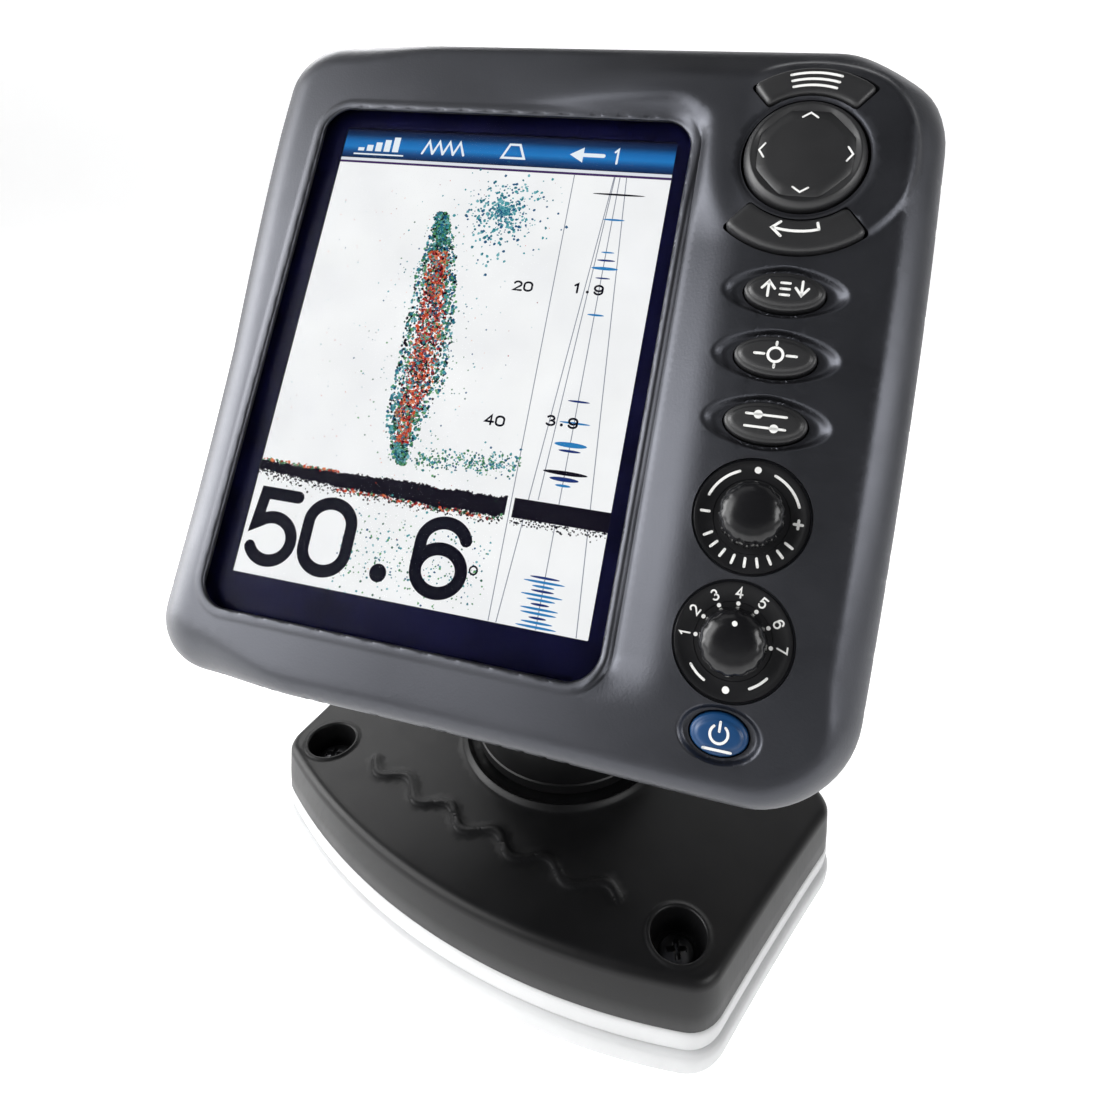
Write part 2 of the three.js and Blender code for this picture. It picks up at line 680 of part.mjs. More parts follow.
function makeScreenFrame() {
  const tray = prism(rounded(stack, 0, 3), -10.4, -0.1);
  const pocket = prism(rounded({ ...cell, w: 94.8, h: 128.2 }, 0, 2), -9.4, 1);
  return tray.subtract(pocket);
}

add(panel, "window_lens", prism(rounded(lensSize, 0, 3), 0.4, 2.3), "glass");
add(panel, "window_gasket", prism(rounded(lensSize, 0, 3), 2.6, 3.1, [gasketHole]), "rubber");
add(panel, "lcd_panel", prism(rounded(cell, 0, 2), -2, 0), "screen");
add(panel, "lcd_frame", makeScreenFrame(), "steel");
add(panel, "backlight_unit", prism(rounded(cell, 0, 2), -9.1, -2.3), "acetal");

// ---------------------------------------------------------------- electronics
function makeMainBoard() {
  let board = prism(rounded({ x: HOUSING.x, w: 146, h: 140, r: 12 }, 0, 3), -16, -14.4);
  board = join(
    board,
    box(-30, -6, 10, 34, -14.6, -12.6), // processor
    box(6, 26, 14, 30, -14.6, -13), // memory
    box(-10, 40, -40, -28, -14.6, -11.8), // screen connector
    box(60, 84, -20, 10, -14.6, -11), // keypad connector
    box(-44, -26, 50, 66, -24, -15.8), // power inductor
    box(66, 90, 22, 34, -22, -15.8), // filter
    disc(10, -50, 6, -30, -15.8, 18),
    disc(26, -50, 6, -30, -15.8, 18),
  );
  return board;
}

function makeSonarBoard() {
  const board = box(-18, 60, -20, 46, -32, -30.4);
  return join(
    board,
    box(-10, 16, 6, 34, -39, -31.8), // output transformer
    box(26, 52, 16, 38, -30.6, -24), // screened receiver
    disc(32, -8, 5, -30.6, -19, 16),
    disc(46, -8, 5, -30.6, -19, 16),
  );
}

const keyColumn = { x: 71.5, y: -1.5, w: 31, h: 147, r: 12 };
const bushHoles = [GAIN_Y, MODE_Y].map((y) => oval(KEY_X, y, 4.8, 4.8, 16));

function makeKeypadMat() {
  let mat = prism(rounded(keyColumn, 0, 2), -1.1, -0.3, bushHoles);
  const places = [...Object.values(OVAL_KEYS), POWER.y, DPAD.y + 18.4, DPAD.y - 18.8];
  const dome = (x, y, r) => disc(x, y, r, -0.5, 0.4, 10);
  for (const y of places) mat = mat.add(dome(KEY_X, y, 3.2));
  for (const [dx, dy] of [[10, 0], [-10, 0], [0, 10], [0, -10]]) {
    mat = mat.add(dome(KEY_X + dx, DPAD.y + dy, 2));
  }
  return mat;
}

function makeRotary(y, size) {
  const half = size / 2;
  const body = box(KEY_X - half, KEY_X + half, y - half, y + half, -10.5, -3.3);
  const bush = disc(KEY_X, y, 4.3, -4, 5.2, 20);
  return body.add(bush).subtract(disc(KEY_X, y, KNOB.shaft + GAP, -7.5, 6, 20));
}

add(panel, "main_board", makeMainBoard(), "board");
add(panel, "sonar_board", makeSonarBoard(), "board");
add(panel, "key_board", prism(rounded(keyColumn, 0, 2), -3, -1.4, bushHoles), "board");
add(panel, "keypad_mat", makeKeypadMat(), "rubber");
add(panel, "gain_encoder", makeRotary(GAIN_Y, 13), "steel");
add(panel, "mode_switch", makeRotary(MODE_Y, 15), "steel");

// ---------------------------------------------------------------- keys and knobs
// A key: a flange behind the front wall, a straight stem and a softened top.
function makeKey(outline, flange, top) {
  const stem = loft([
    { z: KEY_BOTTOM, points: outline },
    { z: top - 1, points: outline },
    { z: top, points: grown(outline, -1) },
  ]);
  return stem.add(prism(flange, KEY_BOTTOM, KEY_BOTTOM + 1.2));
}

function makeOvalKey(y, k) {
  return makeKey(oval(KEY_X, y, k.a, k.b), oval(KEY_X, y, k.a + 1.1, k.b + 1), k.top);
}

function makeArcKey(k, middle) {
  const outline = sector(KEY_X, DPAD.y, k.inner, k.outer, middle, k.half);
  const flange = sector(KEY_X, DPAD.y, k.inner - 0.6, k.outer + 0.9, middle, k.half + 3);
  return makeKey(outline, flange, k.top);
}

function makeDpad() {
  const profile = [
    [0, 3.4],
    [DPAD.r - 1.4, 3.4],
    [DPAD.r, 4.2],
    [DPAD.r, DPAD.top - 2],
    [DPAD.r - 0.9, DPAD.top - 0.6],
    [DPAD.r - 2.6, DPAD.top],
    [DPAD.r - 4, DPAD.top - 0.5],
    [0, DPAD.top - 0.7],
  ];
  return turned(KEY_X, DPAD.y, profile, 24);
}

function makeShaft(y) {
  return disc(KEY_X, y, KNOB.shaft, -6.5, KNOB.top - 3, 20);
}

function makeKnob(y) {
  const profile = [
    [KNOB.shaft + GAP, KNOB.bottom],
    [KNOB.r - 0.4, KNOB.bottom],
    [KNOB.r, KNOB.bottom + 0.6],
    [KNOB.r - 0.5, KNOB.top - 2.2],
    [KNOB.r - 1.6, KNOB.top - 0.8],
    [KNOB.r - 3.6, KNOB.top - 0.1],
    [0, KNOB.top],
    [0, KNOB.top - 2.7],
    [KNOB.shaft + GAP, KNOB.top - 2.7],
    [KNOB.shaft + GAP, KNOB.bottom],
  ];
  return turned(KEY_X, y, profile, 20);
}

for (const [name, y] of Object.entries(OVAL_KEYS)) {
  add(panel, name, makeOvalKey(y, OVAL), "keyBlack");
}
add(panel, "power_key", makeOvalKey(POWER.y, POWER), "blue");
add(panel, "menu_key", makeArcKey(MENU, 90), "keyBlack");
add(panel, "enter_key", makeArcKey(ENTER, -90), "keyBlack");
add(panel, "dpad_gimbal", ringOf(KEY_X, DPAD.y, 5, 8, 0.9, 2.2, 24), "acetal");
add(panel, "dpad_cap", makeDpad(), "keyBlack");
for (const [name, y] of [["gain", GAIN_Y], ["mode", MODE_Y]]) {
  const dial = ringOf(KEY_X, y, DIAL.hole, DIAL.r, DIAL.z0, DIAL.z1, 24);
  add(panel, name + "_dial_ring", dial, "black");
  add(panel, name + "_shaft", makeShaft(y), "steel");
  add(panel, name + "_knob", makeKnob(y), "black");
}

export default product;
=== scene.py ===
import math
import random

import bmesh
import bpy
import numpy as np
from mathutils import Matrix, Vector
from mathutils.geometry import delaunay_2d_cdt
from mathutils.kdtree import KDTree


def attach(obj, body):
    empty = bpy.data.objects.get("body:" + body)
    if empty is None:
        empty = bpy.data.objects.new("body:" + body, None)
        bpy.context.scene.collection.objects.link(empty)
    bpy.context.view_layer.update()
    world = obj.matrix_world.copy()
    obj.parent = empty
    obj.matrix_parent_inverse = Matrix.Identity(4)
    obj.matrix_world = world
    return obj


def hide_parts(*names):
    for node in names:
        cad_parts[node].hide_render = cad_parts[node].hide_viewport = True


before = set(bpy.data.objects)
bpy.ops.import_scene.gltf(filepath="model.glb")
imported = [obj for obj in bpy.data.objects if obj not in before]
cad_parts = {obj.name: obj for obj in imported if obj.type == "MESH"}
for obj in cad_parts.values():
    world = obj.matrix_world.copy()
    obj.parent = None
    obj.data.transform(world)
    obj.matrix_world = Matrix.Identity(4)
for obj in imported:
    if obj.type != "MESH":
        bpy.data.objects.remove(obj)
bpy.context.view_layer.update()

# ---- sizes, millimetres
# The display is drawn in the panel's axes: x right, y up the screen, z out of it, from the screen's centre.
MM = 0.001
TAU = 2 * math.pi
SWIVEL_DEG, LEAN_DEG = 14.47, 33.27
PIVOT_Z = 99.45  # the tilt axis above the floor
PIVOT = Vector((20.5, -37.3, -60))  # the tilt axis in the panel's axes
HOUSE_X, HOUSE_HALF = 20.5, 82
FACE, BEZEL = 7.2, 3.8  # level of the key panel, and of the bezel left of the window
SEAM, BACK = -8, -44
SCREEN_W, SCREEN_H = 86.4, 115.2
WINDOW = dict(x=-0.2, y=-2.5, w=94.5, h=127, r=7)
KEY_X = 72.6
DPAD_Y, GAIN_Y, MODE_Y, POWER_Y = 50.7, -27.4, -51.7, -69.1
OVALS = {"range": 20, "mark": 5.9, "func": -8.2}
OVAL_KEY, POWER_KEY = (8.35, 4.25), (5.5, 3.9)
OVAL_DISH, POWER_DISH = (13.2, 5.9), (8.1, 5.5)
# Arc keys: inner and outer radius round the direction pad, middle and half angle, top.
ARC_KEYS = {"menu": (14.7, 21.1, 90, 38.5, 8.6), "enter": (15.2, 22.4, -90, 41, 8.9)}
KEY_GAP = 0.4
KEY_BODIES = {"range": "range_button", "mark": "mark_button", "func": "function_button"}
PLATFORM, PLATFORM_Y, PLATFORM_R = 0.8, 52, 24.2
DIAL_FLOOR, DIAL_PRINT = 5.5, 6.88
DECK = 29.9  # top of the base cover
COVER_SCREWS = {
    "front_left": (-62.1, -45.5), "front_right": (62.1, -45.5),
    "rear_left": (-66, 12), "rear_right": (66, 12),
}
STEP = 1.25  # mesh spacing of the large skins

WORLD = Matrix.Identity(4)
SWIVEL = Matrix.Rotation(math.radians(SWIVEL_DEG), 4, "Z")
LEAN = Matrix.Rotation(math.radians(90 - LEAN_DEG), 4, "X")
PANEL = SWIVEL @ Matrix.Translation((0, 0, PIVOT_Z * MM)) @ LEAN @ Matrix.Translation(-PIVOT * MM)


# ---- materials
def tune(node, **values):
    """Set a shader node's inputs by name."""
    for key, value in values.items():
        node.inputs[key.replace("_", " ")].default_value = value
    return node


def blank(name):
    """A new material, with its nodes, its link function and its shader."""
    m = bpy.data.materials.new(name)
    m.use_nodes = True
    return m, m.node_tree.nodes, m.node_tree.links.new, m.node_tree.nodes["Principled BSDF"]


def surface(
    name, base, rough, metal=0.0, grain=0.5, bump=0.3, relief=0.03, blotch=0.10, spread=0.025, edge_sheen=0.0,
    **extra,
):
    """A procedural finish: fine grain, drifting colour and roughness, faint scratches, and a painted
    highlight that lightens convex edges.
    """
    m, nodes, link, shader = blank(name)
    tune(shader, Metallic=metal, **extra)
    coord = nodes.new("ShaderNodeTexCoord")

    def noise(scale, detail, stretch=None):
        n = tune(nodes.new("ShaderNodeTexNoise"), Scale=scale, Detail=detail)
        source = coord.outputs["Object"]
        if stretch:
            mapping = tune(nodes.new("ShaderNodeMapping"), Scale=stretch, Rotation=(0.3, 0.2, 0.7))
            link(source, mapping.inputs["Vector"])
            source = mapping.outputs["Vector"]
        link(source, n.inputs["Vector"])
        return n.outputs["Fac"]

    def ranged(value, low, high, out_low, out_high):
        n = nodes.new("ShaderNodeMapRange")
        tune(n, From_Min=low, From_Max=high, To_Min=out_low, To_Max=out_high)
        link(value, n.inputs["Value"])
        return n.outputs["Result"]

    def blend(factor, a, c):
        n = nodes.new("ShaderNodeMix")
        n.data_type = "RGBA"
        link(factor, n.inputs["Factor"])
        return tune(n, A=(*a, 1), B=(*c, 1))

    fine = noise(1 / (grain * MM), 3)
    broad = noise(70, 4)
    lines = noise(160, 2, (1, 14, 1))
    dark = tuple(c * (1 - blotch) for c in base)
    light = tuple(min(c * (1 + blotch) + 0.001, 1) for c in base)
    out = blend(ranged(broad, 0.35, 0.65, 0, 1), dark, light).outputs["Result"]
    # Painted highlight: convex edges, found by pointiness, get a lighter base colour.
    if edge_sheen:
        edge = ranged(nodes.new("ShaderNodeNewGeometry").outputs["Pointiness"], 0.53, 0.6, 0, edge_sheen)
        sheened = blend(edge, base, tuple(min(c * 2.2 + 0.03, 1) for c in base))
        link(out, sheened.inputs["A"])
        out = sheened.outputs["Result"]
    link(out, shader.inputs["Base Color"])
    add = nodes.new("ShaderNodeMath")
    add.operation = "ADD"
    link(ranged(broad, 0.3, 0.7, rough - spread, rough + spread), add.inputs[0])
    link(ranged(lines, 0.45, 0.75, 0, spread), add.inputs[1])
    link(add.outputs["Value"], shader.inputs["Roughness"])
    bumper = tune(nodes.new("ShaderNodeBump"), Strength=bump, Distance=relief * MM)
    link(fine, bumper.inputs["Height"])
    link(bumper.outputs["Normal"], shader.inputs["Normal"])
    return m


def glowing(name):
    """The lit picture: each face's own tint, with a faint uneven backlight."""
    m, nodes, link, shader = blank(name)
    tint = nodes.new("ShaderNodeAttribute")
    tint.attribute_name = "Tint"
    noise = tune(nodes.new("ShaderNodeTexNoise"), Scale=60)
    link(nodes.new("ShaderNodeTexCoord").outputs["Object"], noise.inputs["Vector"])
    level = tune(nodes.new("ShaderNodeMapRange"), To_Min=0.9, To_Max=1.06)
    link(noise.outputs["Fac"], level.inputs["Value"])
    link(tint.outputs["Color"], shader.inputs["Emission Color"])
    link(level.outputs["Result"], shader.inputs["Emission Strength"])
    tune(shader, Base_Color=(0.004, 0.004, 0.006, 1), Roughness=0.6, Specular_IOR_Level=0.03)
    return m


# The charcoal finish carries a painted highlight on its convex edges.
CHARCOAL = surface(
    "charcoal", (0.0046, 0.0047, 0.0056), 0.385, grain=0.55, bump=0.35, relief=0.07, edge_sheen=0.2,
    Specular_IOR_Level=1.0, Specular_Tint=(0.85, 0.88, 1.0, 1),
)
# The satin black finish carries a painted highlight on its convex edges.
BLACK = surface(
    "satin_black", (0.0036, 0.0036, 0.004), 0.38, grain=0.6, bump=0.3, relief=0.035, edge_sheen=0.2,
    Specular_IOR_Level=0.28,
)
KEY = surface(
    "key_rubber", (0.0085, 0.0085, 0.0095), 0.45, grain=0.35, bump=0.25, relief=0.02, Specular_IOR_Level=0.75
)
GLOSS = surface("dial_print", (0.006, 0.006, 0.007), 0.3, grain=0.5, bump=0.1, relief=0.01)
KNOB = surface("knob_gloss", (0.006, 0.006, 0.007), 0.22, grain=0.8, bump=0.08, relief=0.01)
BLUE = surface("power_blue", (0.003, 0.045, 0.14), 0.36, grain=0.4, bump=0.2, relief=0.02)
WHITE = surface("deck_white", (0.66, 0.665, 0.67), 0.42, grain=0.9, bump=0.2, relief=0.03, blotch=0.03)
INK = surface("white_print", (0.82, 0.82, 0.80), 0.5, grain=0.3, bump=0.1, relief=0.01, blotch=0.04)
RUBBER = surface("seal_rubber", (0.012, 0.012, 0.012), 0.75, grain=0.4, bump=0.3)
METAL = dict(metal=1.0, grain=0.7, bump=0.1, relief=0.02)
STEEL = surface("steel", (0.55, 0.56, 0.58), 0.30, **METAL)
DARK_STEEL = surface("dark_steel", (0.10, 0.10, 0.105), 0.34, **METAL)
BRASS = surface("brass", (0.62, 0.42, 0.16), 0.32, **METAL)
ACETAL = surface("acetal", (0.68, 0.68, 0.65), 0.45, grain=0.6, bump=0.15, relief=0.02, blotch=0.04)
BOARD = surface("circuit_board", (0.012, 0.09, 0.035), 0.4, grain=0.4, bump=0.2)
BORDER = surface(
    "window_print", (0.003, 0.003, 0.022), 0.35, grain=0.5, bump=0.05, relief=0.01, blotch=0.3,
    Specular_IOR_Level=0.05,
)
GLASS = surface(
    "window_glass", (0.97, 0.98, 1.0), 0.03, grain=2.0, bump=0.01, relief=0.005, blotch=0.01, spread=0.01,
    Transmission_Weight=1.0, IOR=1.04,
)
PICTURE = glowing("screen_picture")


# ---- meshes
def added(name, data):
    """A new object in the scene."""
    o = bpy.data.objects.new(name, data)
    bpy.context.scene.collection.objects.link(o)
    return o


class Form:
    """Vertices in millimetres and faces, gathered before they become a piece."""

    def __init__(self):
        self.v, self.f, self.tints = [], [], []

    def add(self, points, faces, tint=None):
        k = len(self.v)
        self.v += [tuple(p) for p in points]
        self.f += [tuple(k + i for i in face) for face in faces]
        self.tints += [tint] * len(faces)
        return self

    def disc(self, ring, z, tint=None):
        """One flat face inside an outline."""
        return self.add(at_height(ring, z), [tuple(range(len(ring)))], tint)

    def rings(self, rings, capped=False, flip=False):
        """A skin over closed rings of equal counts, lowest first."""
        n = len(rings[0])
        points = [p for ring in rings for p in ring]
        faces = []
        for k in range(len(rings) - 1):
            for i in range(n):
                j = (i + 1) % n
                faces.append((k * n + i, k * n + j, (k + 1) * n + j, (k + 1) * n + i))
        if capped:
            faces.append(tuple(reversed(range(n))))
            faces.append(tuple(range((len(rings) - 1) * n, len(rings) * n)))
        if flip:
            faces = [tuple(reversed(face)) for face in faces]
        return self.add(points, faces)

    def reverse(self):
        self.f = [tuple(reversed(face)) for face in self.f]
        return self

    def turn(self, matrix):
        self.v = [tuple(matrix @ Vector(p)) for p in self.v]
        return self

    def move(self, x, y, z=0):
        return self.turn(Matrix.Translation((x, y, z)))

    def join(self, other):
        return self.add(other.v, other.f)

    def piece(self, name, material, body, place=PANEL, replaces=None, sharp=38, weld=True):
        """Make the mesh object, let it ride a body and replace a node of the solid model."""
        mesh = bpy.data.meshes.new(name)
        mesh.from_pydata([tuple(c * MM for c in p) for p in self.v], [], self.f)
        if weld:
            bm = bmesh.new()
            bm.from_mesh(mesh)
            bmesh.ops.remove_doubles(bm, verts=bm.verts, dist=0.002 * MM)
            bm.to_mesh(mesh)
            bm.free()
        mesh.polygons.foreach_set("use_smooth", [True] * len(mesh.polygons))
        mesh.set_sharp_from_angle(angle=math.radians(sharp))
        if any(t is not None for t in self.tints):
            tints = mesh.color_attributes.new("Tint", "FLOAT_COLOR", "CORNER")
            corners = []
            for face, t in zip(self.f, self.tints):
                corners += [*t, 1.0] * len(face)
            tints.data.foreach_set("color", corners)
        mesh.materials.append(material)
        mesh.update()
        o = added(name, mesh)
        o.matrix_world = place
        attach(o, body)
        if replaces:
            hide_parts(replaces)
        return o


def at_height(loop, z):
    """An outline lifted to a level, or on to a surface z(x, y)."""
    if callable(z):
        heights = z(np.array([p[0] for p in loop]), np.array([p[1] for p in loop]))
        return [(x, y, float(h)) for (x, y), h in zip(loop, heights)]
    return [(x, y, z) for x, y in loop]


def shifted(points, x, y):
    return [(px + x, py + y) for px, py in points]


def spread(loop, step):
    """A closed outline with long sides divided."""
    out = []
    for i, p in enumerate(loop):
        q = loop[(i + 1) % len(loop)]
        n = max(1, math.ceil(math.dist(p, q) / step))
        out += [(p[0] + (q[0] - p[0]) * k / n, p[1] + (q[1] - p[1]) * k / n) for k in range(n)]
    return out


def corner_arcs(x, y, half_w, half_h, radii, arc):
    """A rectangle with its own radius at each corner, from the upper right one round to the left."""
    loop = []
    for corner, ((sx, sy), r) in enumerate(zip([(1, 1), (-1, 1), (-1, -1), (1, -1)], radii)):
        for i in range(arc + 1):
            a = (corner + i / arc) * math.pi / 2
            cx, cy = x + sx * (half_w - r), y + sy * (half_h - r)
            loop.append((cx + r * math.cos(a), cy + r * math.sin(a)))
    return loop


def rounded(box, inset=0.0, step=1.6, arc=12):
    r = max(box["r"] - inset, 0.4)
    half_w, half_h = box["w"] / 2 - inset, box["h"] / 2 - inset
    return spread(corner_arcs(box["x"], box["y"], half_w, half_h, [r] * 4, arc), step)


def offset(loop, d):
    """A closed counter-clockwise outline moved outwards by d."""
    n, out = len(loop), []
    for i in range(n):
        a, b, c = Vector(loop[i - 1]), Vector(loop[i]), Vector(loop[(i + 1) % n])
        v = ((b - a).normalized() + (c - b).normalized()).normalized()
        out.append((b.x + v.y * d, b.y - v.x * d))
    return out


def away_from(x, y, loop):
    """Shortest distance from each point to a closed outline."""
    best = np.full(np.shape(x), np.inf)
    for (x0, y0), (x1, y1) in zip(loop, loop[1:] + loop[:1]):
        dx, dy = x1 - x0, y1 - y0
        t = np.clip(((x - x0) * dx + (y - y0) * dy) / (dx * dx + dy * dy), 0, 1)
        best = np.minimum(best, (x - x0 - t * dx) ** 2 + (y - y0 - t * dy) ** 2)
    return np.sqrt(best)


def box_distance(x, y, box):
    """Distance outside (positive) or inside (negative) a rounded rectangle."""
    qx = np.abs(x - box["x"]) - box["w"] / 2 + box["r"]
    qy = np.abs(y - box["y"]) - box["h"] / 2 + box["r"]
    return np.hypot(np.maximum(qx, 0), np.maximum(qy, 0)) + np.minimum(np.maximum(qx, qy), 0) - box["r"]


def ramp(t):
    """Smooth step from 0 to 1."""
    t = np.clip(t, 0, 1)
    return t * t * (3 - 2 * t)


def clamp(t):
    return min(max(t, 0), 1)


def house_outline():
    """Tighter corners at the left, and a right side that draws in towards the bottom."""
    drawn = []
    for x, y in spread(corner_arcs(HOUSE_X, 0, HOUSE_HALF, HOUSE_HALF, (24, 15, 14, 19), 14), 1.8):
        pull = (0.5 + 4.2 * clamp((40 - y) / 122) ** 1.8) * clamp((x - 30) / 60)
        push = 2.2 * clamp((y + 5) / 60) * clamp((-10 - x) / 45)
        drawn.append((x - pull - push, y))
    return drawn


def oval(x, y, a, b, n=48):
    return [(x + a * math.cos(TAU * i / n), y + b * math.sin(TAU * i / n)) for i in range(n)]


def bow(cx, cy, rx, ry, a0, a1, n=20):
    """An open arc from angle a0 to a1, in degrees."""
    angles = [math.radians(a0 + (a1 - a0) * i / n) for i in range(n + 1)]
    return [(cx + rx * math.cos(a), cy + ry * math.sin(a)) for a in angles]


def bend(p, q, s, ts):
    """Points of the curve that leaves p towards q and ends at s."""
    return [tuple((1 - t) ** 2 * p[i] + 2 * t * (1 - t) * q[i] + t * t * s[i] for i in range(2)) for t in ts]


def sector(inner, outer, middle, half, corner=1.0, n=22):
    """A ring sector round the direction pad's centre, with rounded corners."""
    def at(r, d):
        a = math.radians(d)
        return (KEY_X + r * math.cos(a), DPAD_Y + r * math.sin(a))

    loop = []
    for r, other, sign in ((outer, inner, 1), (inner, outer, -1)):
        trim = math.degrees(corner / r)
        a0, a1 = middle - sign * (half - trim), middle + sign * (half - trim)
        loop += [at(r, a0 + (a1 - a0) * i / n) for i in range(n + 1)]
        end = middle + sign * half
        turned = at(r - sign * corner, end)
        loop += bend(loop[-1], at(r, end), turned, (0.33, 0.67))
        loop.append(turned)
        side = at(other + sign * corner, end)
        loop.append(side)
        after = at(other, end - sign * math.degrees(corner / other))
        loop += bend(side, at(other, end), after, (0.33, 0.67))
    return loop


def inside(px, py, loop):
    """Which of the points lie inside a closed outline."""
    hit = np.zeros(len(px), bool)
    for (x0, y0), (x1, y1) in zip(loop, loop[1:] + loop[:1]):
        if y0 != y1:
            cross = (y0 > py) != (y1 > py)
            hit ^= cross & (px < (x1 - x0) * (py - y0) / (y1 - y0) + x0)
    return hit


def plate(outer, holes, height, loose=(), step=STEP):
    """A sheet bounded by outer and holes, triangulated finely, lifted by height(x, y)."""
    points, edges = [], []
    for loop in [outer, *holes]:
        k, n = len(points), len(loop)
        points += loop
        edges += [(k + i, k + (i + 1) % n) for i in range(n)]
    points += [p for line in loose for p in line]
    tree = KDTree(len(points))
    for i, p in enumerate(points):
        tree.insert((*p, 0), i)
    tree.balance()
    xs, ys = [p[0] for p in outer], [p[1] for p in outer]
    grid, row, y = [], 0, min(ys)
    while y < max(ys):
        x = min(xs) + (step / 2 if row % 2 else 0)
        while x < max(xs):
            grid.append((x, y))
            x += step
        y += step * 0.866
        row += 1

    def wanted(px, py):
        keep = inside(px, py, outer)
        for hole in holes:
            keep &= ~inside(px, py, hole)
        return keep

    keep = wanted(*np.array(grid).T)
    points += [g for g, k in zip(grid, keep) if k and tree.find((*g, 0))[2] > step * 0.62]
    verts, _, faces = delaunay_2d_cdt([Vector(p) for p in points], edges, [], 0, 1e-5)[:3]
    vx, vy = np.array([v.x for v in verts]), np.array([v.y for v in verts])
    tri = np.array([f for f in faces if len(f) == 3])
    keep = wanted(vx[tri].mean(1), vy[tri].mean(1))
    z = np.asarray(height(vx, vy), float)
    return Form().add(zip(vx.tolist(), vy.tolist(), z.tolist()), tri[keep].tolist())


def lathe(profile, n=64, flute=None):
    """A turned form round Z: rows are (radius, height). flute(a, k) scales ring k's radius at angle a."""
    rings = []
    for k, (r, z) in enumerate(profile):
        ring = []
        for i in range(n):
            a = TAU * i / n
            rr = max(r, 0.001) * (flute(a, k) if flute else 1)
            ring.append((rr * math.cos(a), rr * math.sin(a), z))
        rings.append(ring)
    return Form().rings(rings)


def stack(outline_at, rows):
    """A closed form over the outlines of the given (inset, level) rows, lowest first."""
    return Form().rings([at_height(outline_at(inset), z) for inset, z in rows], capped=True)


def bevelled(outline_at, z0, z1, r, steps=4):
    """A prism between z0 and z1 whose ends are rounded by r. outline_at(inset) gives its outline."""
    quarter = [math.pi / 2 * i / steps for i in range(steps + 1)]
    low = [(r * (1 - math.cos(a)), z0 + r * (1 - math.sin(a))) for a in reversed(quarter)]
    high = [(r * (1 - math.cos(a)), z1 - r + r * math.sin(a)) for a in quarter]
    return stack(outline_at, low + high)


def side_form(outline_at, x0, x1, r, steps=3):
    """A prism along x whose outline is drawn as (y, z)."""
    form = bevelled(outline_at, *sorted((x0, x1)), r, steps)
    form.v = [(z, x, y) for x, y, z in form.v]
    return form


def stroke(form, points, width, z, tint=None, closed=False):
    """A flat line of even width through points, with mitred joins and round ends."""
    pts = [Vector(p) for p in points]
    n = len(pts)
    left, right = [], []
    for i, p in enumerate(pts):
        before = pts[i - 1] if (i > 0 or closed) else None
        after = pts[(i + 1) % n] if (i < n - 1 or closed) else None
        d1 = (p - before).normalized() if before is not None else (after - p).normalized()
        d2 = (after - p).normalized() if after is not None else d1
        mean = (d1 + d2).normalized() if (d1 + d2).length > 1e-6 else d1
        side = Vector((-mean.y, mean.x)) * (width / 2 / max(mean.dot(d1), 0.45))
        left.append(p + side)
        right.append(p - side)
    for i in range(n if closed else n - 1):
        j = (i + 1) % n
        quad = [right[i], right[j], left[j], left[i]]
        form.add([(q.x, q.y, z) for q in quad], [(0, 1, 2, 3)], tint)
    if not closed:
        for p in (pts[0], pts[-1]):
            form.disc(oval(p.x, p.y, width / 2, width / 2, 10), z, tint)
    return form


# ---- display, front
OUTLINE = house_outline()
EDGE = 0.5  # rounding at the openings
# The slanted band between the window and the key panel: share of the climb against x.
CLIMB_FOOT = 48
CLIMB_X = [48.6, 49.8, 57.6, 60.5, 66, 80]
CLIMB_Z = [0, 0.04, 0.74, 0.88, 0.95, 1]


def hole_edge(d):
    """Drop of a rounded edge at distance d from an opening."""
    d = np.clip(d, 0, EDGE)
    return EDGE - np.sqrt(np.maximum(EDGE**2 - (EDGE - d) ** 2, 0))


def climb(x):
    return sum(np.interp(x + s, CLIMB_X, CLIMB_Z) for s in (-1.2, -0.6, 0, 0.6, 1.2)) / 5


def face_level(x, y, away):
    """The share of the climb from the bezel to the key panel; away is the distance from the window."""
    narrow = 1 + 2.4 * ramp((y - 30) / 28)
    beside = climb(CLIMB_FOOT + (x - CLIMB_FOOT) * narrow)
    # Above the window the face is level further to the left, and a cove follows the window's corner.
    above = ramp((x + 4) / 50) * climb(CLIMB_FOOT + (away - 0.8) * narrow)
    below = ramp((x - 2) / 74)
    level = beside + (above - beside) * ramp((y - 50) / 14)
    return level + (below - level) * ramp((-58 - y) / 11)


def sunk(z, floor, x, y, half_axes, power=2):
    """z lowered to a floor inside an oval dish; a power under 2 points its ends."""
    u = np.abs(x / half_axes[0]) ** power + (y / half_axes[1]) ** 2
    return z + (floor - z) * ramp((1 - u) / 0.3)


def rim_drop(x, y, inset):
    """How far the face rolls off near the outline: widest at the left, with a crease at the right."""
    low = ramp((50 - y) / 100)
    left = ramp((-20 - x) / 30)
    far_right = ramp((x - 76) / 19)
    width = 5.0 + left * (3.4 + 3.2 * low) + 3.2 * far_right * ramp((y + 75) / 20)
    depth = 5.6 + left * (0.8 + 4.6 * low) + 2.2 * far_right
    t = np.clip(1 - inset / width, 0, 1)
    crease = 0.42 * far_right + 0.08 * left
    return depth * ((1 - crease) * (1 - np.sqrt(np.maximum(1 - t * t, 0))) + crease * t)


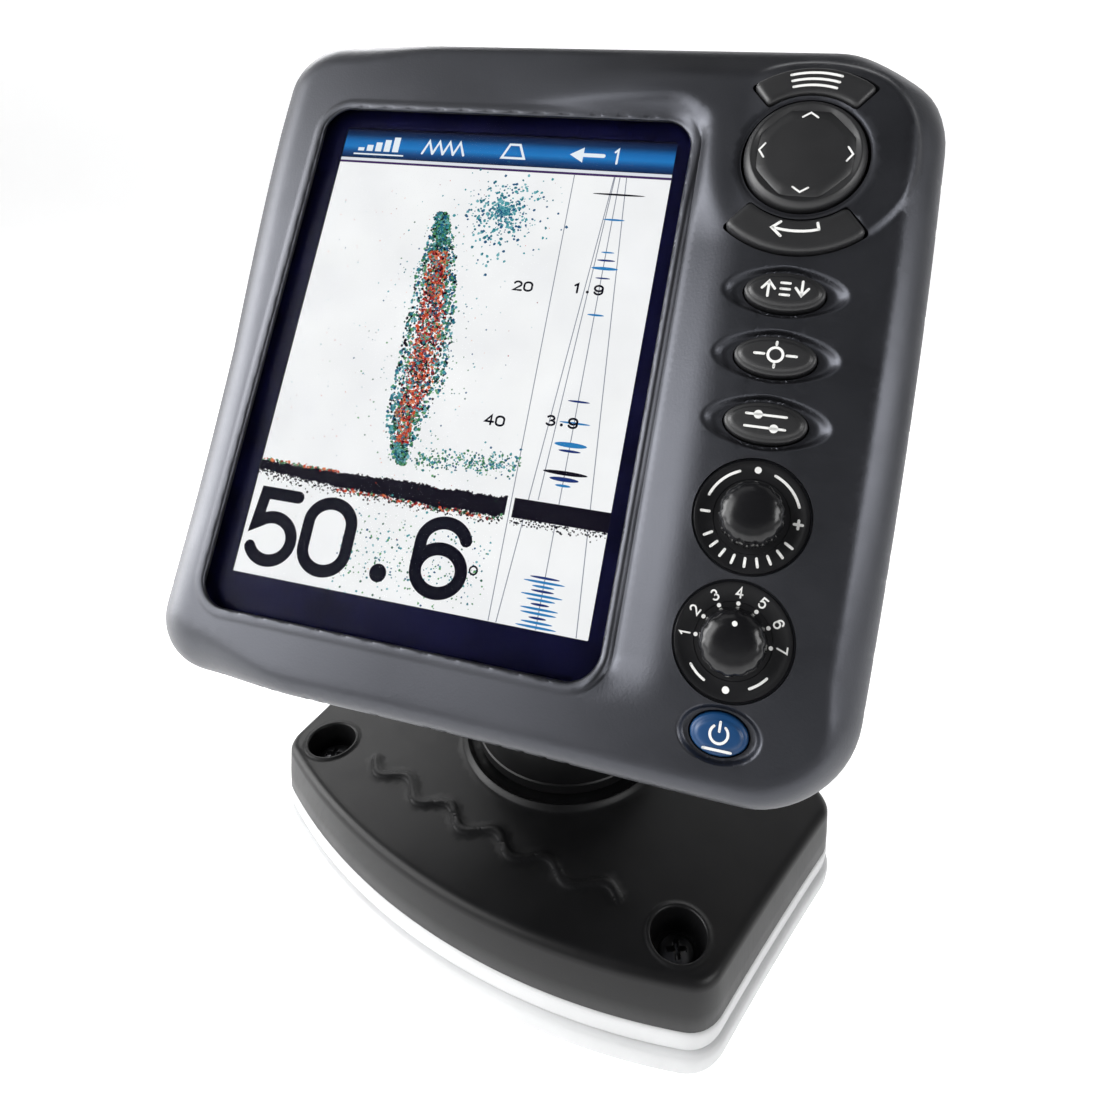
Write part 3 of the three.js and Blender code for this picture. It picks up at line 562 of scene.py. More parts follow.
def face_height(x, y):
    away = box_distance(x, y, WINDOW)
    inset = away_from(x, y, OUTLINE)
    z = BEZEL + (FACE - BEZEL) * face_level(x, y, away)
    # A ridge round the window, higher at the right, where a groove follows it.
    right = ramp((x - 44) / 3)
    z = z + 0.55 * np.sin(np.pi * np.clip(away / 2.4, 0, 1)) * (0.3 + 0.7 * right)
    groove = np.exp(-(((away - 2.7) / 0.55) ** 2)) * ramp((62 - np.abs(y - WINDOW["y"])) / 5)
    z = z - 0.45 * right * groove
    # The low platform round the direction pad, and the dishes round the keys.
    rise = np.hypot(x - KEY_X, y - PLATFORM_Y)
    z = z + PLATFORM * ramp((PLATFORM_R - rise) / 1.8) * ramp((x - 58) / 9) * ramp((inset - 1.5) / 6)
    for key_y in OVALS.values():
        z = sunk(z, FACE - 1.5, x - KEY_X, y - key_y, OVAL_DISH, 1.6)
    z = sunk(z, FACE - 1.2, x - KEY_X, y - POWER_Y, POWER_DISH)
    z = z - 0.35 * ramp((14.4 - np.hypot(x - KEY_X, y - DPAD_Y)) / 0.7)
    z = z - 0.6 * hole_edge(away)
    z = z - (FACE - BEZEL) * ramp((y - 68) / 13) * ramp((x + 4) / 50)
    return z - rim_drop(x, y, inset)


def hole_outline(name, grow=0.0):
    """The face's openings, by name."""
    gap = KEY_GAP + grow
    if name in OVALS:
        return oval(KEY_X, OVALS[name], OVAL_KEY[0] + gap, OVAL_KEY[1] + gap, 60)
    if name == "power":
        return oval(KEY_X, POWER_Y, POWER_KEY[0] + gap, POWER_KEY[1] + gap, 48)
    if name == "dpad":
        return oval(KEY_X, DPAD_Y, 13.5, 13.5, 90)
    if name in ARC_KEYS:
        inner, outer, middle, half, _ = ARC_KEYS[name]
        return sector(inner - gap, outer + gap, middle, half + 1.3)
    return oval(KEY_X, GAIN_Y if name == "gain" else MODE_Y, 11.8, 11.8, 80)


def dish_outline(y, u):
    """A level line of an oval key's dish: u is 1 at its rim."""
    ring = []
    for i in range(84):
        c, s = math.cos(TAU * i / 84), math.sin(TAU * i / 84)
        x = KEY_X + math.copysign(OVAL_DISH[0] * (u * c * c) ** 0.625, c)
        ring.append((x, y + OVAL_DISH[1] * u**0.5 * s))
    return ring


def only(points, loop, within):
    """The points that lie inside a closed outline, or outside it."""
    return [p for p, hit in zip(points, inside(*np.array(points).T, loop)) if hit == within]


def front_housing():
    names = [*OVALS, "power", "dpad", *ARC_KEYS, "gain", "mode"]
    holes = {name: hole_outline(name) for name in names}
    holes["window"] = rounded(WINDOW, 0, 1.3)
    loose = [offset(OUTLINE, -d) for d in (0.03, 0.14, 0.45, 1, 1.8, 2.8, 4, 5.4, 6.9, 8.2, 10.2, 12.6)]
    loose += [rounded(WINDOW, -d, 1.1) for d in (0.12, 0.35, 0.7, 1.2, 1.7, 2.1, 2.5, 2.9, 3.4)]
    loose += [hole_outline(name, 0.3) for name in OVALS]
    loose += [oval(KEY_X, DPAD_Y, r, r, 90) for r in (13.7, 14.0, 14.4)]
    for k in (0.84, 0.88, 0.92, 0.96, 1.0, 1.04):
        loose.append(oval(KEY_X, POWER_Y, POWER_DISH[0] * k, POWER_DISH[1] * k, 60))
    for name, y in OVALS.items():
        for u in (0.62, 0.7, 0.78, 0.86, 0.94, 1.0, 1.06):
            loose.append(only(dish_outline(y, u), hole_outline(name, 0.35), False))
    for r in (22.2, 22.8, 23.4, 24.0, 24.5):
        loose.append(only(bow(KEY_X, PLATFORM_Y, r, r, -130, 128, 86), OUTLINE, True))
    form = plate(OUTLINE, list(holes.values()), face_height, loose)
    form.rings([at_height(OUTLINE, SEAM), at_height(OUTLINE, face_height)])
    for name, hole in holes.items():
        floor = {"gain": DIAL_FLOOR, "mode": DIAL_FLOOR, "window": 3.1}.get(name, 1.0)
        form.rings([at_height(hole, floor), at_height(hole, face_height)], flip=True)
    for y in (GAIN_Y, MODE_Y):
        form.rings([at_height(oval(KEY_X, y, r, r, 80), DIAL_FLOOR) for r in (11.8, 4.7)])
    return form


front_housing().piece("housing_front", CHARCOAL, "display", replaces="front_housing")

# Window: printed border under a clear pane.
border = rounded(dict(WINDOW, w=98.4, h=130.8, r=5), 0, 3)
opening = rounded(dict(x=0, y=0, w=SCREEN_W + 0.2, h=SCREEN_H + 0.2, r=0.5), 0, 3, 3)
plate(border, [opening], lambda x, y: 0 * x + 0.3, (), 6).piece("window_border", BORDER, "display")
pane = dict(WINDOW, w=99, h=131.4, r=5)
bevelled(lambda i: rounded(pane, i, 4), 0.4, 2.3, 0.15, 2).piece(
    "window_pane", GLASS, "display", replaces="window_lens"
)

# ---- lit picture
random.seed(57)
PALE = (0.92, 0.925, 0.92)
DARK = (0.003, 0.002, 0.006)
PRINT = (0.002, 0.002, 0.006)
TEAL = [(0.02, 0.17, 0.22), (0.05, 0.30, 0.34), (0.01, 0.09, 0.20), (0.16, 0.42, 0.46)]
WARM = [(0.42, 0.02, 0.015), (0.60, 0.07, 0.02), (0.26, 0.01, 0.015), (0.72, 0.20, 0.08)]
GREEN = [(0.04, 0.20, 0.08), (0.10, 0.32, 0.12), (0.03, 0.12, 0.08)]
BAR = [
    (0.004, 0.005, 0.02), (0.006, 0.03, 0.10), (0.010, 0.14, 0.42),
    (0.015, 0.19, 0.52), (0.008, 0.06, 0.20), (0.005, 0.015, 0.05),
]
BAR_SIGN = (0.80, 0.86, 0.90)
HALF_W, HALF_H = SCREEN_W / 2, SCREEN_H / 2
# The school of fish, from the top down: y, left edge, right edge.
SCHOOL = [
    (36, -12.6, -10.4), (30, -13, -8.4), (22, -13.6, -5.6), (6, -13.4, -3),
    (-8, -13, -2.6), (-17, -13, -6), (-27, -8.6, -6.6),
]
picture = Form()


def tile(x0, x1, y0, y1, z, tint):
    picture.add([(x0, y0, z), (x1, y0, z), (x1, y1, z), (x0, y1, z)], [(0, 1, 2, 3)], tint)


def speck(x, y, s, tint, z=0.12):
    a = random.uniform(0, TAU)
    k = [s * random.uniform(0.6, 1.15) for _ in range(5)]
    ring = [(x + k[i] * math.cos(a + TAU * i / 5), y + k[i] * math.sin(a + TAU * i / 5)) for i in range(5)]
    picture.disc(ring, z, tint)


def scatter(count, place, small, large, tints):
    for _ in range(count):
        x, y = place()
        speck(x, y, random.uniform(small, large), random.choice(tints))


SIX = bow(0.5, 1.1, 0.5, 0.5, 20, 180) + bow(0.5, 0.5, 0.5, 0.5, 180, 530, 36)
GLYPHS = {
    "0": (bow(0.5, 1.1, 0.5, 0.5, 0, 180) + bow(0.5, 0.5, 0.5, 0.5, 180, 360), True),
    "1": ([(0.2, 1.3), (0.55, 1.6), (0.55, 0)], False),
    "2": (bow(0.48, 1.12, 0.46, 0.48, 160, -35) + [(0, 0), (1, 0)], False),
    "3": (bow(0.45, 1.2, 0.42, 0.4, 150, -80) + bow(0.47, 0.43, 0.5, 0.43, 80, -150), False),
    "4": ([(0.7, 0), (0.7, 1.6), (0, 0.5), (1, 0.5)], False),
    "5": ([(0.92, 1.6), (0.12, 1.6), (0.06, 0.86)] + bow(0.48, 0.52, 0.5, 0.52, 128, -152, 30), False),
    "6": (SIX, False),
    "7": ([(0, 1.6), (0.95, 1.6), (0.35, 0)], False),
    "9": ([(1 - x, 1.6 - y) for x, y in SIX], False),
}


def write(form, text, x, y, height, width, weight, z, tint=None):
    """Numerals only. (x, y) is the lower left corner."""
    for i, c in enumerate(text):
        x0 = x + i * width * 1.35
        if c == ".":
            form.disc(oval(x0 + width * 0.5, y + weight * 0.7, weight * 0.72, weight * 0.72, 20), z, tint)
            continue
        points, closed = GLYPHS[c]
        stroke(form, [(x0 + p[0] * width, y + p[1] * height / 1.6) for p in points], weight, z, tint, closed)
    return form


def draw_bar():
    """The pale field, and above it a shaded bar with plain signs: steps, peaks, a beam and an arrow."""
    tile(-HALF_W, HALF_W, -HALF_H, 49, 0.05, PALE)
    top, low, rows = HALF_H, 49.4, 24
    for i in range(rows):
        t = i / (rows - 1) * (len(BAR) - 1)
        k = min(int(t), len(BAR) - 2)
        tint = tuple(BAR[k][c] * (1 - t + k) + BAR[k + 1][c] * (t - k) for c in range(3))
        y1 = top - (top - low) * i / rows
        tile(-HALF_W, HALF_W, y1 - (top - low) / rows, y1, 0.05, tint)
    tile(-HALF_W, HALF_W, 48.7, 49.5, 0.07, (0.75, 0.78, 0.82))
    tile(-HALF_W, HALF_W, 48.1, 48.75, 0.06, (0.05, 0.02, 0.10))
    z = 0.08
    for k in range(5):
        tile(-39 + 2.4 * k, -37.3 + 2.4 * k, 51.5, 52.4 + 0.8 * k, z, BAR_SIGN)
    tile(-40, -26, 50.4, 50.8, z, BAR_SIGN)
    for k in range(4):
        peak = [(-21, 51.6), (-19.6, 55), (-18.2, 51.6)]
        stroke(picture, shifted(peak, 2.8 * k, 0), 0.6, z, BAR_SIGN)
    stroke(picture, [(2, 55.2), (0.4, 51.6), (6.2, 51.6), (4.6, 55.2)], 0.6, z, BAR_SIGN, closed=True)
    stroke(picture, [(20.6, 53.4), (26, 53.4)], 1.0, z, BAR_SIGN)
    picture.disc([(17.6, 53.4), (21, 51.4), (21, 55.4)], z, BAR_SIGN)
    write(picture, "1", 28.4, 51.6, 3.6, 1.9, 0.55, z, BAR_SIGN)


def draw_school():
    """A tall school of fish, warm core and green and teal edges, with looser echoes round it."""
    ys, lefts, rights = zip(*reversed(SCHOOL))

    def edges(y):
        return float(np.interp(y, ys, lefts)), float(np.interp(y, ys, rights))

    def near_school():
        y = random.uniform(-26, 36)
        a, b = edges(y)
        return random.gauss((a + b) / 2, (b - a) * 0.6 + 1), y

    def in_cloud():
        r = abs(random.gauss(0, 1))
        a = random.uniform(0, TAU)
        return 4 + 6.6 * r * math.cos(a), 37.5 + 5.6 * r * math.sin(a)

    def in_layer():
        x = random.uniform(-4, 21)
        return x, -25 + 0.1 * x + random.gauss(0, 1.3)

    for _ in range(4200):
        y = random.uniform(-27, 36)
        a, b = edges(y)
        u = max(-1.05, min(1.05, random.gauss(0, 0.55)))
        x = (a + b) / 2 + (b - a) / 2 * u * 1.1 + random.gauss(0, 0.3)
        core = abs(u) < 0.62 and -22 < y < 26
        tints = WARM if core and random.random() < 0.66 else (TEAL if random.random() < 0.62 else GREEN)
        tint = random.choice(tints) if random.random() > 0.2 else DARK
        speck(x, y, random.uniform(0.18, 0.56), tint)
    scatter(360, near_school, 0.12, 0.3, TEAL + GREEN)
    scatter(620, in_cloud, 0.16, 0.52, TEAL)
    scatter(420, in_layer, 0.12, 0.4, GREEN + TEAL)
    scatter(420, lambda: (random.uniform(-18, 18), random.gauss(-48, 6)), 0.1, 0.36, TEAL + GREEN)
    scatter(260, lambda: (random.uniform(-42, 19), random.uniform(-56, 46)), 0.07, 0.18, TEAL + WARM)


def draw_bed():
    """The sea bed: a dark ragged band with a warm fringe."""
    n = 260
    drift = 0.0
    for i in range(n):
        x0 = -HALF_W + 2 * HALF_W * i / n
        x1 = x0 + 2 * HALF_W / n + 0.02
        drift = drift * 0.9 + random.gauss(0, 0.13)
        thick = 2.4 + 2.0 * min(1, (x0 + HALF_W) / 40)
        y1 = -30.7 + drift * 0.6 + random.uniform(-0.25, 0.25)
        if 19.5 < x0 < 21:
            continue
        if x0 > 21:
            y1 = -30.4
        tile(x0, x1, y1 - thick, y1, 0.10, DARK)
        if random.random() < 0.8 and x0 < 20:
            edge = y1 + random.uniform(0, 0.3) if x0 < -22 else y1 - thick - random.uniform(0, 0.8)
            speck(x0, edge, random.uniform(0.2, 0.5), random.choice(WARM + WARM + GREEN))
        for _ in range(2):
            speck(x0, y1 - thick - abs(random.gauss(0, 0.9)), random.uniform(0.12, 0.34), DARK)


def draw_strip():
    """The echo strip at the right: beam lines and bars."""
    grey, navy, sky = (0.25, 0.27, 0.32), (0.01, 0.03, 0.16), (0.02, 0.20, 0.48)
    top, low = 48, -57.4
    beams = [(19.8, 20.8, low), (29.6, 22.6, low), (32.6, 40.6, low), (31, 31.6, low), (29.8, 26.6, -30)]
    for x0, x1, end in beams:
        stroke(picture, [(x0, top), (x1, end)], 0.22, 0.09, grey)
    # Bars: level, half length, thickness, tint.
    bars = [
        (43.6, 6.4, 0.5, DARK), (37.2, 2.6, 0.5, sky), (29, 1.6, 0.4, sky), (27, 2.2, 0.5, navy),
        (25, 3.2, 0.8, sky), (22.6, 1.8, 0.4, navy), (13.6, 2, 0.5, sky), (-7, 2.6, 0.5, navy),
        (-12, 3.6, 0.5, sky), (-17, 3.8, 1.2, sky), (-18.4, 2.6, 0.6, navy), (-23.4, 5.2, 1.0, DARK),
        (-24.8, 3.4, 1.0, navy), (-26.2, 1.8, 0.6, sky),
    ]
    for k in range(12):
        bars.append((-46.5 - 0.95 * k, 3.4 + 1.4 * math.sin(k * 1.9), 0.55, sky if k % 3 else navy))
    for y, half, thick, tint in bars:
        picture.disc(oval(31.5, y, half, thick / 2, 16), 0.11, tint)


def draw_numbers():
    """The depth scales, and the depth in large numerals with a small ring beside it."""
    for text, x, y in (("20", 10.6, 17.9), ("40", 10.6, -14.8), ("1.9", 25.0, 18.6), ("3.9", 25.0, -13.1)):
        write(picture, text, x, y, 2.1, 1.9, 0.5, 0.13, PRINT)
    for digit, x in (("5", -41.0), ("0", -26.9), (".", -9.0), ("6", 1.6)):
        write(picture, digit, x, -54.0, 15.6, 4 if digit == "." else 10.9, 2.9, 0.14, PRINT)
    stroke(picture, oval(15.2, -47.6, 0.9, 0.9, 14), 0.4, 0.14, PRINT, closed=True)


draw_bar()
draw_school()
draw_bed()
draw_strip()
draw_numbers()
picture.piece("sonar_picture", PICTURE, "display", weld=False)

# ---- keys, pad and dials
# A key's crown: inset from its outline, and drop below its top.
OVAL_CROWN = [(0, 1.1), (0.15, 0.75), (0.4, 0.55), (0.75, 0.5), (1.0, 0.42), (1.2, 0.18), (1.5, 0.04)]
OVAL_CROWN += [(2.0, 0), (3.0, -0.02)]
ARC_CROWN = [(0, 1.0), (0.1, 0.6), (0.32, 0.25), (0.7, 0.06), (1.2, 0), (1.9, 0.02)]


def key(name, outline_at, flange, crown, top, material, body):
    rows = [(-flange, 1.6), (-flange, 2.8), (0, 2.8)] + [(inset, top - drop) for inset, drop in crown]
    stack(outline_at, rows).piece(name + "_key_cap", material, body, replaces=name + "_key")


def oval_key(name, y, size, top, material, body):
    key(name, lambda i: oval(KEY_X, y, size[0] - i, size[1] - i, 64), 1.1, OVAL_CROWN, top, material, body)


def arc_key(name, inner, outer, middle, half, top):
    def outline(inset):
        turn = math.degrees(inset / ((inner + outer) / 2))
        return sector(inner + inset, outer - inset, middle, half - turn, max(1.3 - inset * 0.5, 0.4))

    key(name, outline, 0.6, ARC_CROWN, top, KEY, name + "_button")


def dpad(top=9.6):
    rows = [(12.9, 2.2), (12.75, 1.5), (12.3, 0.8), (11.7, 0.35), (11.5, 0.25), (11.2, 0.35), (10.9, 0.75)]
    rows += [(10.6, 0.85), (10.3, 0.6), (8, 0.5), (3, 0.4), (0, 0.4)]
    profile = [(0, 3.4), (11.6, 3.4), (12.9, 4.3)] + [(r, top - drop) for r, drop in rows]

    def scallop(a, k):
        return 1 - (0.055 * abs(math.cos(4 * a)) if 9 <= k <= 11 else 0)

    form = lathe(profile, 96, scallop).move(KEY_X, DPAD_Y)
    form.piece("dpad_top", KEY, "dpad_disc", replaces="dpad_cap", sharp=50)


def dial(name, y):
    """The printed disc round a knob."""
    profile = [(5, 5.9), (11.2, 5.9), (11.4, 6.1), (11.4, 6.6), (11.2, 6.8), (10.4, 6.82), (10.2, 6.74)]
    profile += [(7.6, 6.74), (7.4, 6.6), (5, 6.6), (5, 5.9)]
    form = lathe(profile, 96).move(KEY_X, y)
    form.piece(name + "_dial_disc", GLOSS, "display", replaces=name + "_dial_ring", sharp=30)


def knob(name, y):
    """A domed knob with fluted sides, open below."""
    profile = [(3.3, 11.9), (3.3, 8.1), (6.2, 8.1), (6.5, 8.5), (6.55, 9.4), (6.4, 10.8), (6.2, 12.2)]
    profile += [(5.9, 13.1), (5.3, 13.8), (4.4, 14.25), (3.2, 14.5), (1.6, 14.6), (0, 14.6)]

    def flute(a, k):
        side = 1.0 if 3 <= k <= 7 else (0.4 if k in (2, 8) else 0)
        return 1 - 0.035 * side * (0.5 + 0.5 * math.cos(14 * a)) ** 2

    form = lathe(profile, 140, flute).move(KEY_X, y)
    form.piece(name + "_knob_cap", KNOB, name + "_dial", replaces=name + "_knob", sharp=60)


for key_name, key_body in KEY_BODIES.items():
    oval_key(key_name, OVALS[key_name], OVAL_KEY, 8.0, KEY, key_body)
oval_key("power", POWER_Y, POWER_KEY, 7.6, BLUE, "power_button")
for key_name, numbers in ARC_KEYS.items():
    arc_key(key_name, *numbers)
dpad()
for dial_name, dial_y in (("gain", GAIN_Y), ("mode", MODE_Y)):
    dial(dial_name, dial_y)
for dial_name, dial_y in (("gain", GAIN_Y), ("mode", MODE_Y)):
    knob(dial_name, dial_y)


# ---- printed signs
OVAL_SIGN, SIGN_LINE = 8.06, 0.55
UP, DOWN = [(-1.3, 0), (0, 1.6), (1.3, 0)], [(-1.3, 0), (0, -1.6), (1.3, 0)]


def sign(name, z, body, centre, lines, width=SIGN_LINE, loops=(), dots=()):
    """White printing round a centre: closed loops and open lines of one width, and filled dots."""
    form = Form()
    for points in loops:
        stroke(form, shifted(points, *centre), width, z, closed=True)
    for points in lines:
        stroke(form, shifted(points, *centre), width, z)
    for dot in dots:
        form.disc(shifted(dot, *centre), z)
    form.piece(name, INK, body, sharp=180)


def turned(points, degrees):
    c, s = math.cos(math.radians(degrees)), math.sin(math.radians(degrees))
    return [(x * c - y * s, x * s + y * c) for x, y in points]


def ring_arc(r, a0, a1, n=18):
    return bow(0, 0, r, r, a0, a1, n)


def mode_signs():
    """Seven numbered positions, 30 degrees apart, with a dot for each, and two arcs and a dot below."""
    form = Form()
    for k in range(7):
        a = math.radians(180 - 30 * k)
        x, y = math.cos(a), math.sin(a)
        form.disc(oval(KEY_X + 7.2 * x, MODE_Y + 7.2 * y, 0.42, 0.42, 14), DIAL_PRINT)
        digit = write(Form(), str(k + 1), -0.6, -0.95, 1.9, 1.15, 0.34, 0)
        digit.turn(Matrix.Rotation(a - math.pi / 2, 4, "Z"))
        form.join(digit.move(KEY_X + 9.3 * x, MODE_Y + 9.3 * y, DIAL_PRINT))
    for d in (-40, 40):
        stroke(form, shifted(ring_arc(9.2, 258 + d, 282 + d), KEY_X, MODE_Y), 0.5, DIAL_PRINT)
    form.disc(oval(KEY_X, MODE_Y - 9.2, 0.7, 0.7, 18), DIAL_PRINT)
    form.piece("mode_signs", INK, "display", sharp=180)


sign("range_sign", OVAL_SIGN, KEY_BODIES["range"], (KEY_X, OVALS["range"]), [
    shifted(UP, -3.4, 0.1), shifted(DOWN, 3.4, 0.6), [(-3.4, 1.5), (-3.4, -1.6)], [(3.4, 2.1), (3.4, -0.9)],
    *([(-0.9, y), (0.9, y)] for y in (1.5, 0.2, -1.1)),
])
sign("mark_sign", OVAL_SIGN, KEY_BODIES["mark"], (KEY_X, OVALS["mark"]), [
    [(-4.2, 0), (-2.3, 0)], [(2.3, 0), (4.2, 0)], [(0, 2.1), (0, 2.7)], [(0, -2.1), (0, -2.7)],
], loops=[oval(0, 0, 1.5, 1.5, 28)])
sign("func_sign", OVAL_SIGN, KEY_BODIES["func"], (KEY_X, OVALS["func"]), [
    [(-4, 1.3), (4, 1.3)], [(-4, -1.3), (4, -1.3)],
], 0.5, dots=[oval(-1.6, 1.3, 0.9, 0.9, 20), oval(1.8, -1.3, 0.9, 0.9, 20)])
sign("menu_sign", 8.66, "menu_button", (KEY_X, DPAD_Y), [
    ring_arc(r, 74, 106, 14) for r in (16.4, 17.9, 19.4)
], 0.6)
sign("enter_sign", 8.96, "enter_button", (KEY_X, DPAD_Y), [
    ring_arc(18.0, -104, -74, 12), [(-2.9, -16.1), (-4.6, -17.5), (-2.6, -19.3)],
    [(5.0, -17.3), (4.6, -15.9)],
], 0.6)
sign("dpad_signs", 9.22, "dpad_disc", (KEY_X, DPAD_Y), [
    turned([(r - 1.1, 1.6), (r, 0), (r - 1.1, -1.6)], 90 * k) for k, r in enumerate((9.7, 9.3, 9.7, 9.3))
], 0.42)
sign("gain_signs", DIAL_PRINT, "display", (KEY_X, GAIN_Y), [
    ring_arc(9.4, 112, 160), ring_arc(9.4, 68, 20),
    [(-9.9, -0.2), (-8.3, -0.2)], [(8.3, -0.2), (9.9, -0.2)], [(9.1, -1.0), (9.1, 0.6)],
    *(turned([(8.3, 0), (9.9, 0)], d) for d in range(210, 331, 15)),
], dots=[oval(0, 9.4, 0.7, 0.7, 18)])
mode_signs()
sign("mode_pointer", 14.53, "mode_dial", (KEY_X, MODE_Y), [], dots=[oval(0, 3.5, 0.5, 0.5, 18)])
sign("power_sign", 7.68, "power_button", (KEY_X, POWER_Y), [
    shifted(ring_arc(1.7, 130, 410), 0, 0.2), [(0, 2.4), (0, 0.7)], [(-2.6, -2.7), (2.6, -2.7)],
], 0.5)

# ---- display, back
SOCKETS = {
    "power_socket": dict(x=-38, y=-30, r=9.5, bore=7.4, tail=7.0, pins=3, pin_ring=3.0),
    "transducer_socket": dict(x=-38, y=-56, r=11.0, bore=9.0, tail=8.0, pins=6, pin_ring=4.6),
}
PLACES = ["upper_left", "upper_right", "lower_left", "lower_right"]
CASE = [(-53.4, 71.7), (89, 69), (-51.5, -72), (86.3, -70.5)]
CASE_HOLE, CASE_DEPTH = 4.1, 14
BRACKET = [(PIVOT.x + sx * 36, PIVOT.y + sy * 19) for sy in (1, -1) for sx in (-1, 1)]
GROUND = (84.5, -56)
DRAFT = 2.5  # the back is this much smaller all round than the front
BACK_OUTLINE = offset(OUTLINE, -DRAFT)
BACK_FIELD = dict(x=HOUSE_X, y=38, w=104, h=52, r=5)


def back_height(x, y):
    """Depth of the back, measured towards the viewer: ribs, a shallow field and softened edges."""
    field = box_distance(x, y, BACK_FIELD)
    z = BACK + 0.8 * ramp(-field / 1.2)
    rib = 0.5 + 0.5 * np.cos(TAU * (y - BACK_FIELD["y"]) / 8.0)
    z = z - 0.7 * ramp((rib - 0.62) / 0.3) * ramp((-field - 4) / 1.5)
    t = np.clip(1 - away_from(x, y, BACK_OUTLINE) / 8, 0, 1)
    return z + 8 * (1 - np.sqrt(np.maximum(1 - t * t, 0)))


def rear_housing():
    screw_holes = [oval(x, y, CASE_HOLE, CASE_HOLE, 30) for x, y in CASE]
    tail_holes = [oval(s["x"], s["y"], s["tail"] + 0.4, s["tail"] + 0.4, 36) for s in SOCKETS.values()]
    holes = [*screw_holes, *tail_holes, oval(*GROUND, 2.4, 2.4, 20)]
    loose = [offset(BACK_OUTLINE, -d) for d in (0.05, 0.3, 0.9, 1.8, 3, 4.6, 6.4, 8)]
    loose += [oval(x, y, r, r, 30) for x, y in CASE for r in (4.6, 5.4)]
    form = plate(BACK_OUTLINE, holes, back_height, loose, max(STEP, 1.7)).reverse()
    # The side: drafted, with a shallow grip groove and a shadow line at the seam.
    side = [(-34, 2.3), (-27.2, 1.75), (-26.6, 2.6), (-22.4, 2.3), (-21.8, 1.3), (-14, 0.55)]
    side += [(-9.4, 0.1), (-9.0, 0.75), (-8.3, 0.75), (-8.0, 0.75)]
    edge = at_height(BACK_OUTLINE, back_height)
    form.rings([edge] + [at_height(offset(BACK_OUTLINE, DRAFT - inset), z) for z, inset in side])
    for hole, depth in zip(holes, [CASE_DEPTH] * len(CASE) + [4, 4, 4]):
        form.rings([at_height(hole, back_height), at_height(hole, BACK + depth)], flip=True)
    for hole in screw_holes:
        form.disc(hole[::-1], BACK + CASE_DEPTH)
    return form


def seal_cord():
    """The rubber cord in the seam."""
    section = [(-1.9, -9.7), (-1.7, -9.5), (-1.7, -8.3), (-1.9, -8.1), (-2.9, -8.1), (-3.1, -8.3)]
    section += [(-3.1, -9.5), (-2.9, -9.7), (-1.9, -9.7)]
    return Form().rings([at_height(offset(OUTLINE, d), z) for d, z in section])


rear_housing().piece("housing_rear", CHARCOAL, "display", replaces="rear_housing")
seal_cord().piece("seal_cord", RUBBER, "display", replaces="housing_seal")


def cross_head(r, height, recess):
    """A pan head seen from above, with a cross recess; base at z 0."""
    def dome(x, y):
        d = np.hypot(x, y)
        z = height - 0.35 * height * (d / r) ** 2 - hole_edge(r - d) * 0.8
        length, half = r * 0.52, r * 0.115
        along = np.maximum(np.abs(x) - length, np.abs(y) - half)
        across = np.maximum(np.abs(y) - length, np.abs(x) - half)
        return z - recess * ramp(-np.minimum(along, across) / (r * 0.07) + 0.5) * (1 - 0.55 * d / r)

    loop = oval(0, 0, r, r, 40)
    form = plate(loop, [], dome, [oval(0, 0, r - d, r - d, 40) for d in (0.15, 0.45)], r * 0.075)
    return form.rings([at_height(loop, 0), at_height(loop, dome)])


CASE_SCREW = dict(seat=-30.3, r=3.4, height=3, shank=1.4, tip=20, material=STEEL)
PLATE_SCREW = dict(seat=-47.8, r=3.6, height=2.6, shank=1.9, tip=9, material=STEEL)
DECK_SCREW = dict(seat=DECK - 8.7, r=4.7, height=3.2, shank=2.3, tip=20, material=DARK_STEEL)


def screw(name, node, x, y, kind, place, body, facing):
    """facing 1: the head looks along +Z; -1: along -Z."""
    r, shank, tip = kind["r"], kind["shank"], kind["tip"]
    form = cross_head(r, kind["height"], kind["height"] * 0.55)
    form.join(lathe([(r, 0), (shank, 0), (shank, -tip), (0, -tip)], 24))
    form.turn(Matrix.Rotation(math.radians(31), 4, "Z"))
    if facing < 0:
        form.turn(Matrix.Rotation(math.pi, 4, "X"))
    form.move(x, y, kind["seat"])
    form.piece(name, kind["material"], body, place=place, replaces=node)


for label, (sx, sy) in zip(PLACES, CASE):
    screw("case_screw_" + label, "rear_screw_" + label, sx, sy, CASE_SCREW, PANEL, "display", -1)
for label, (sx, sy) in zip(PLACES, BRACKET):
    screw("plate_screw_" + label, "bracket_screw_" + label, sx, sy, PLATE_SCREW, PANEL, "display", -1)


def socket(name, x, y, r, bore, tail, pins, pin_ring):
    """A threaded round socket on the back, with its contacts."""
    face, end = -44.3, -55.3
    profile = [(0, face - 2), (bore, face - 2), (bore, end + 0.6), (bore + 0.5, end)]
    profile += [(r - 0.5, end), (r, end + 0.5)]
    z = end + 1.4
    while z < face - 4.4:
        profile += [(r, z), (r - 0.45, z + 0.45), (r - 0.45, z + 0.7), (r, z + 1.15)]
        z += 1.5
    profile += [(r, face - 3), (r + 1.9, face - 2), (r + 2.2, face - 1.7), (r + 2.2, face), (tail, face)]
    profile += [(tail, -35), (0, -35)]
    shell = lathe(profile, 64).reverse().move(x, y)
    shell.piece(name + "_shell", BLACK, "display", replaces=name, sharp=30)
    contacts = Form()
    for px, py in oval(x, y, pin_ring, pin_ring, pins):
        pin = [(0, face - 5), (0.45, face - 5), (0.7, face - 4.6), (0.7, face - 1.5), (0, face - 1.5)]
        contacts.join(lathe(pin, 16).move(px, py))
    contacts.piece(name + "_pins", BRASS, "display")


for socket_name, sizes in SOCKETS.items():
    socket(socket_name, **sizes)


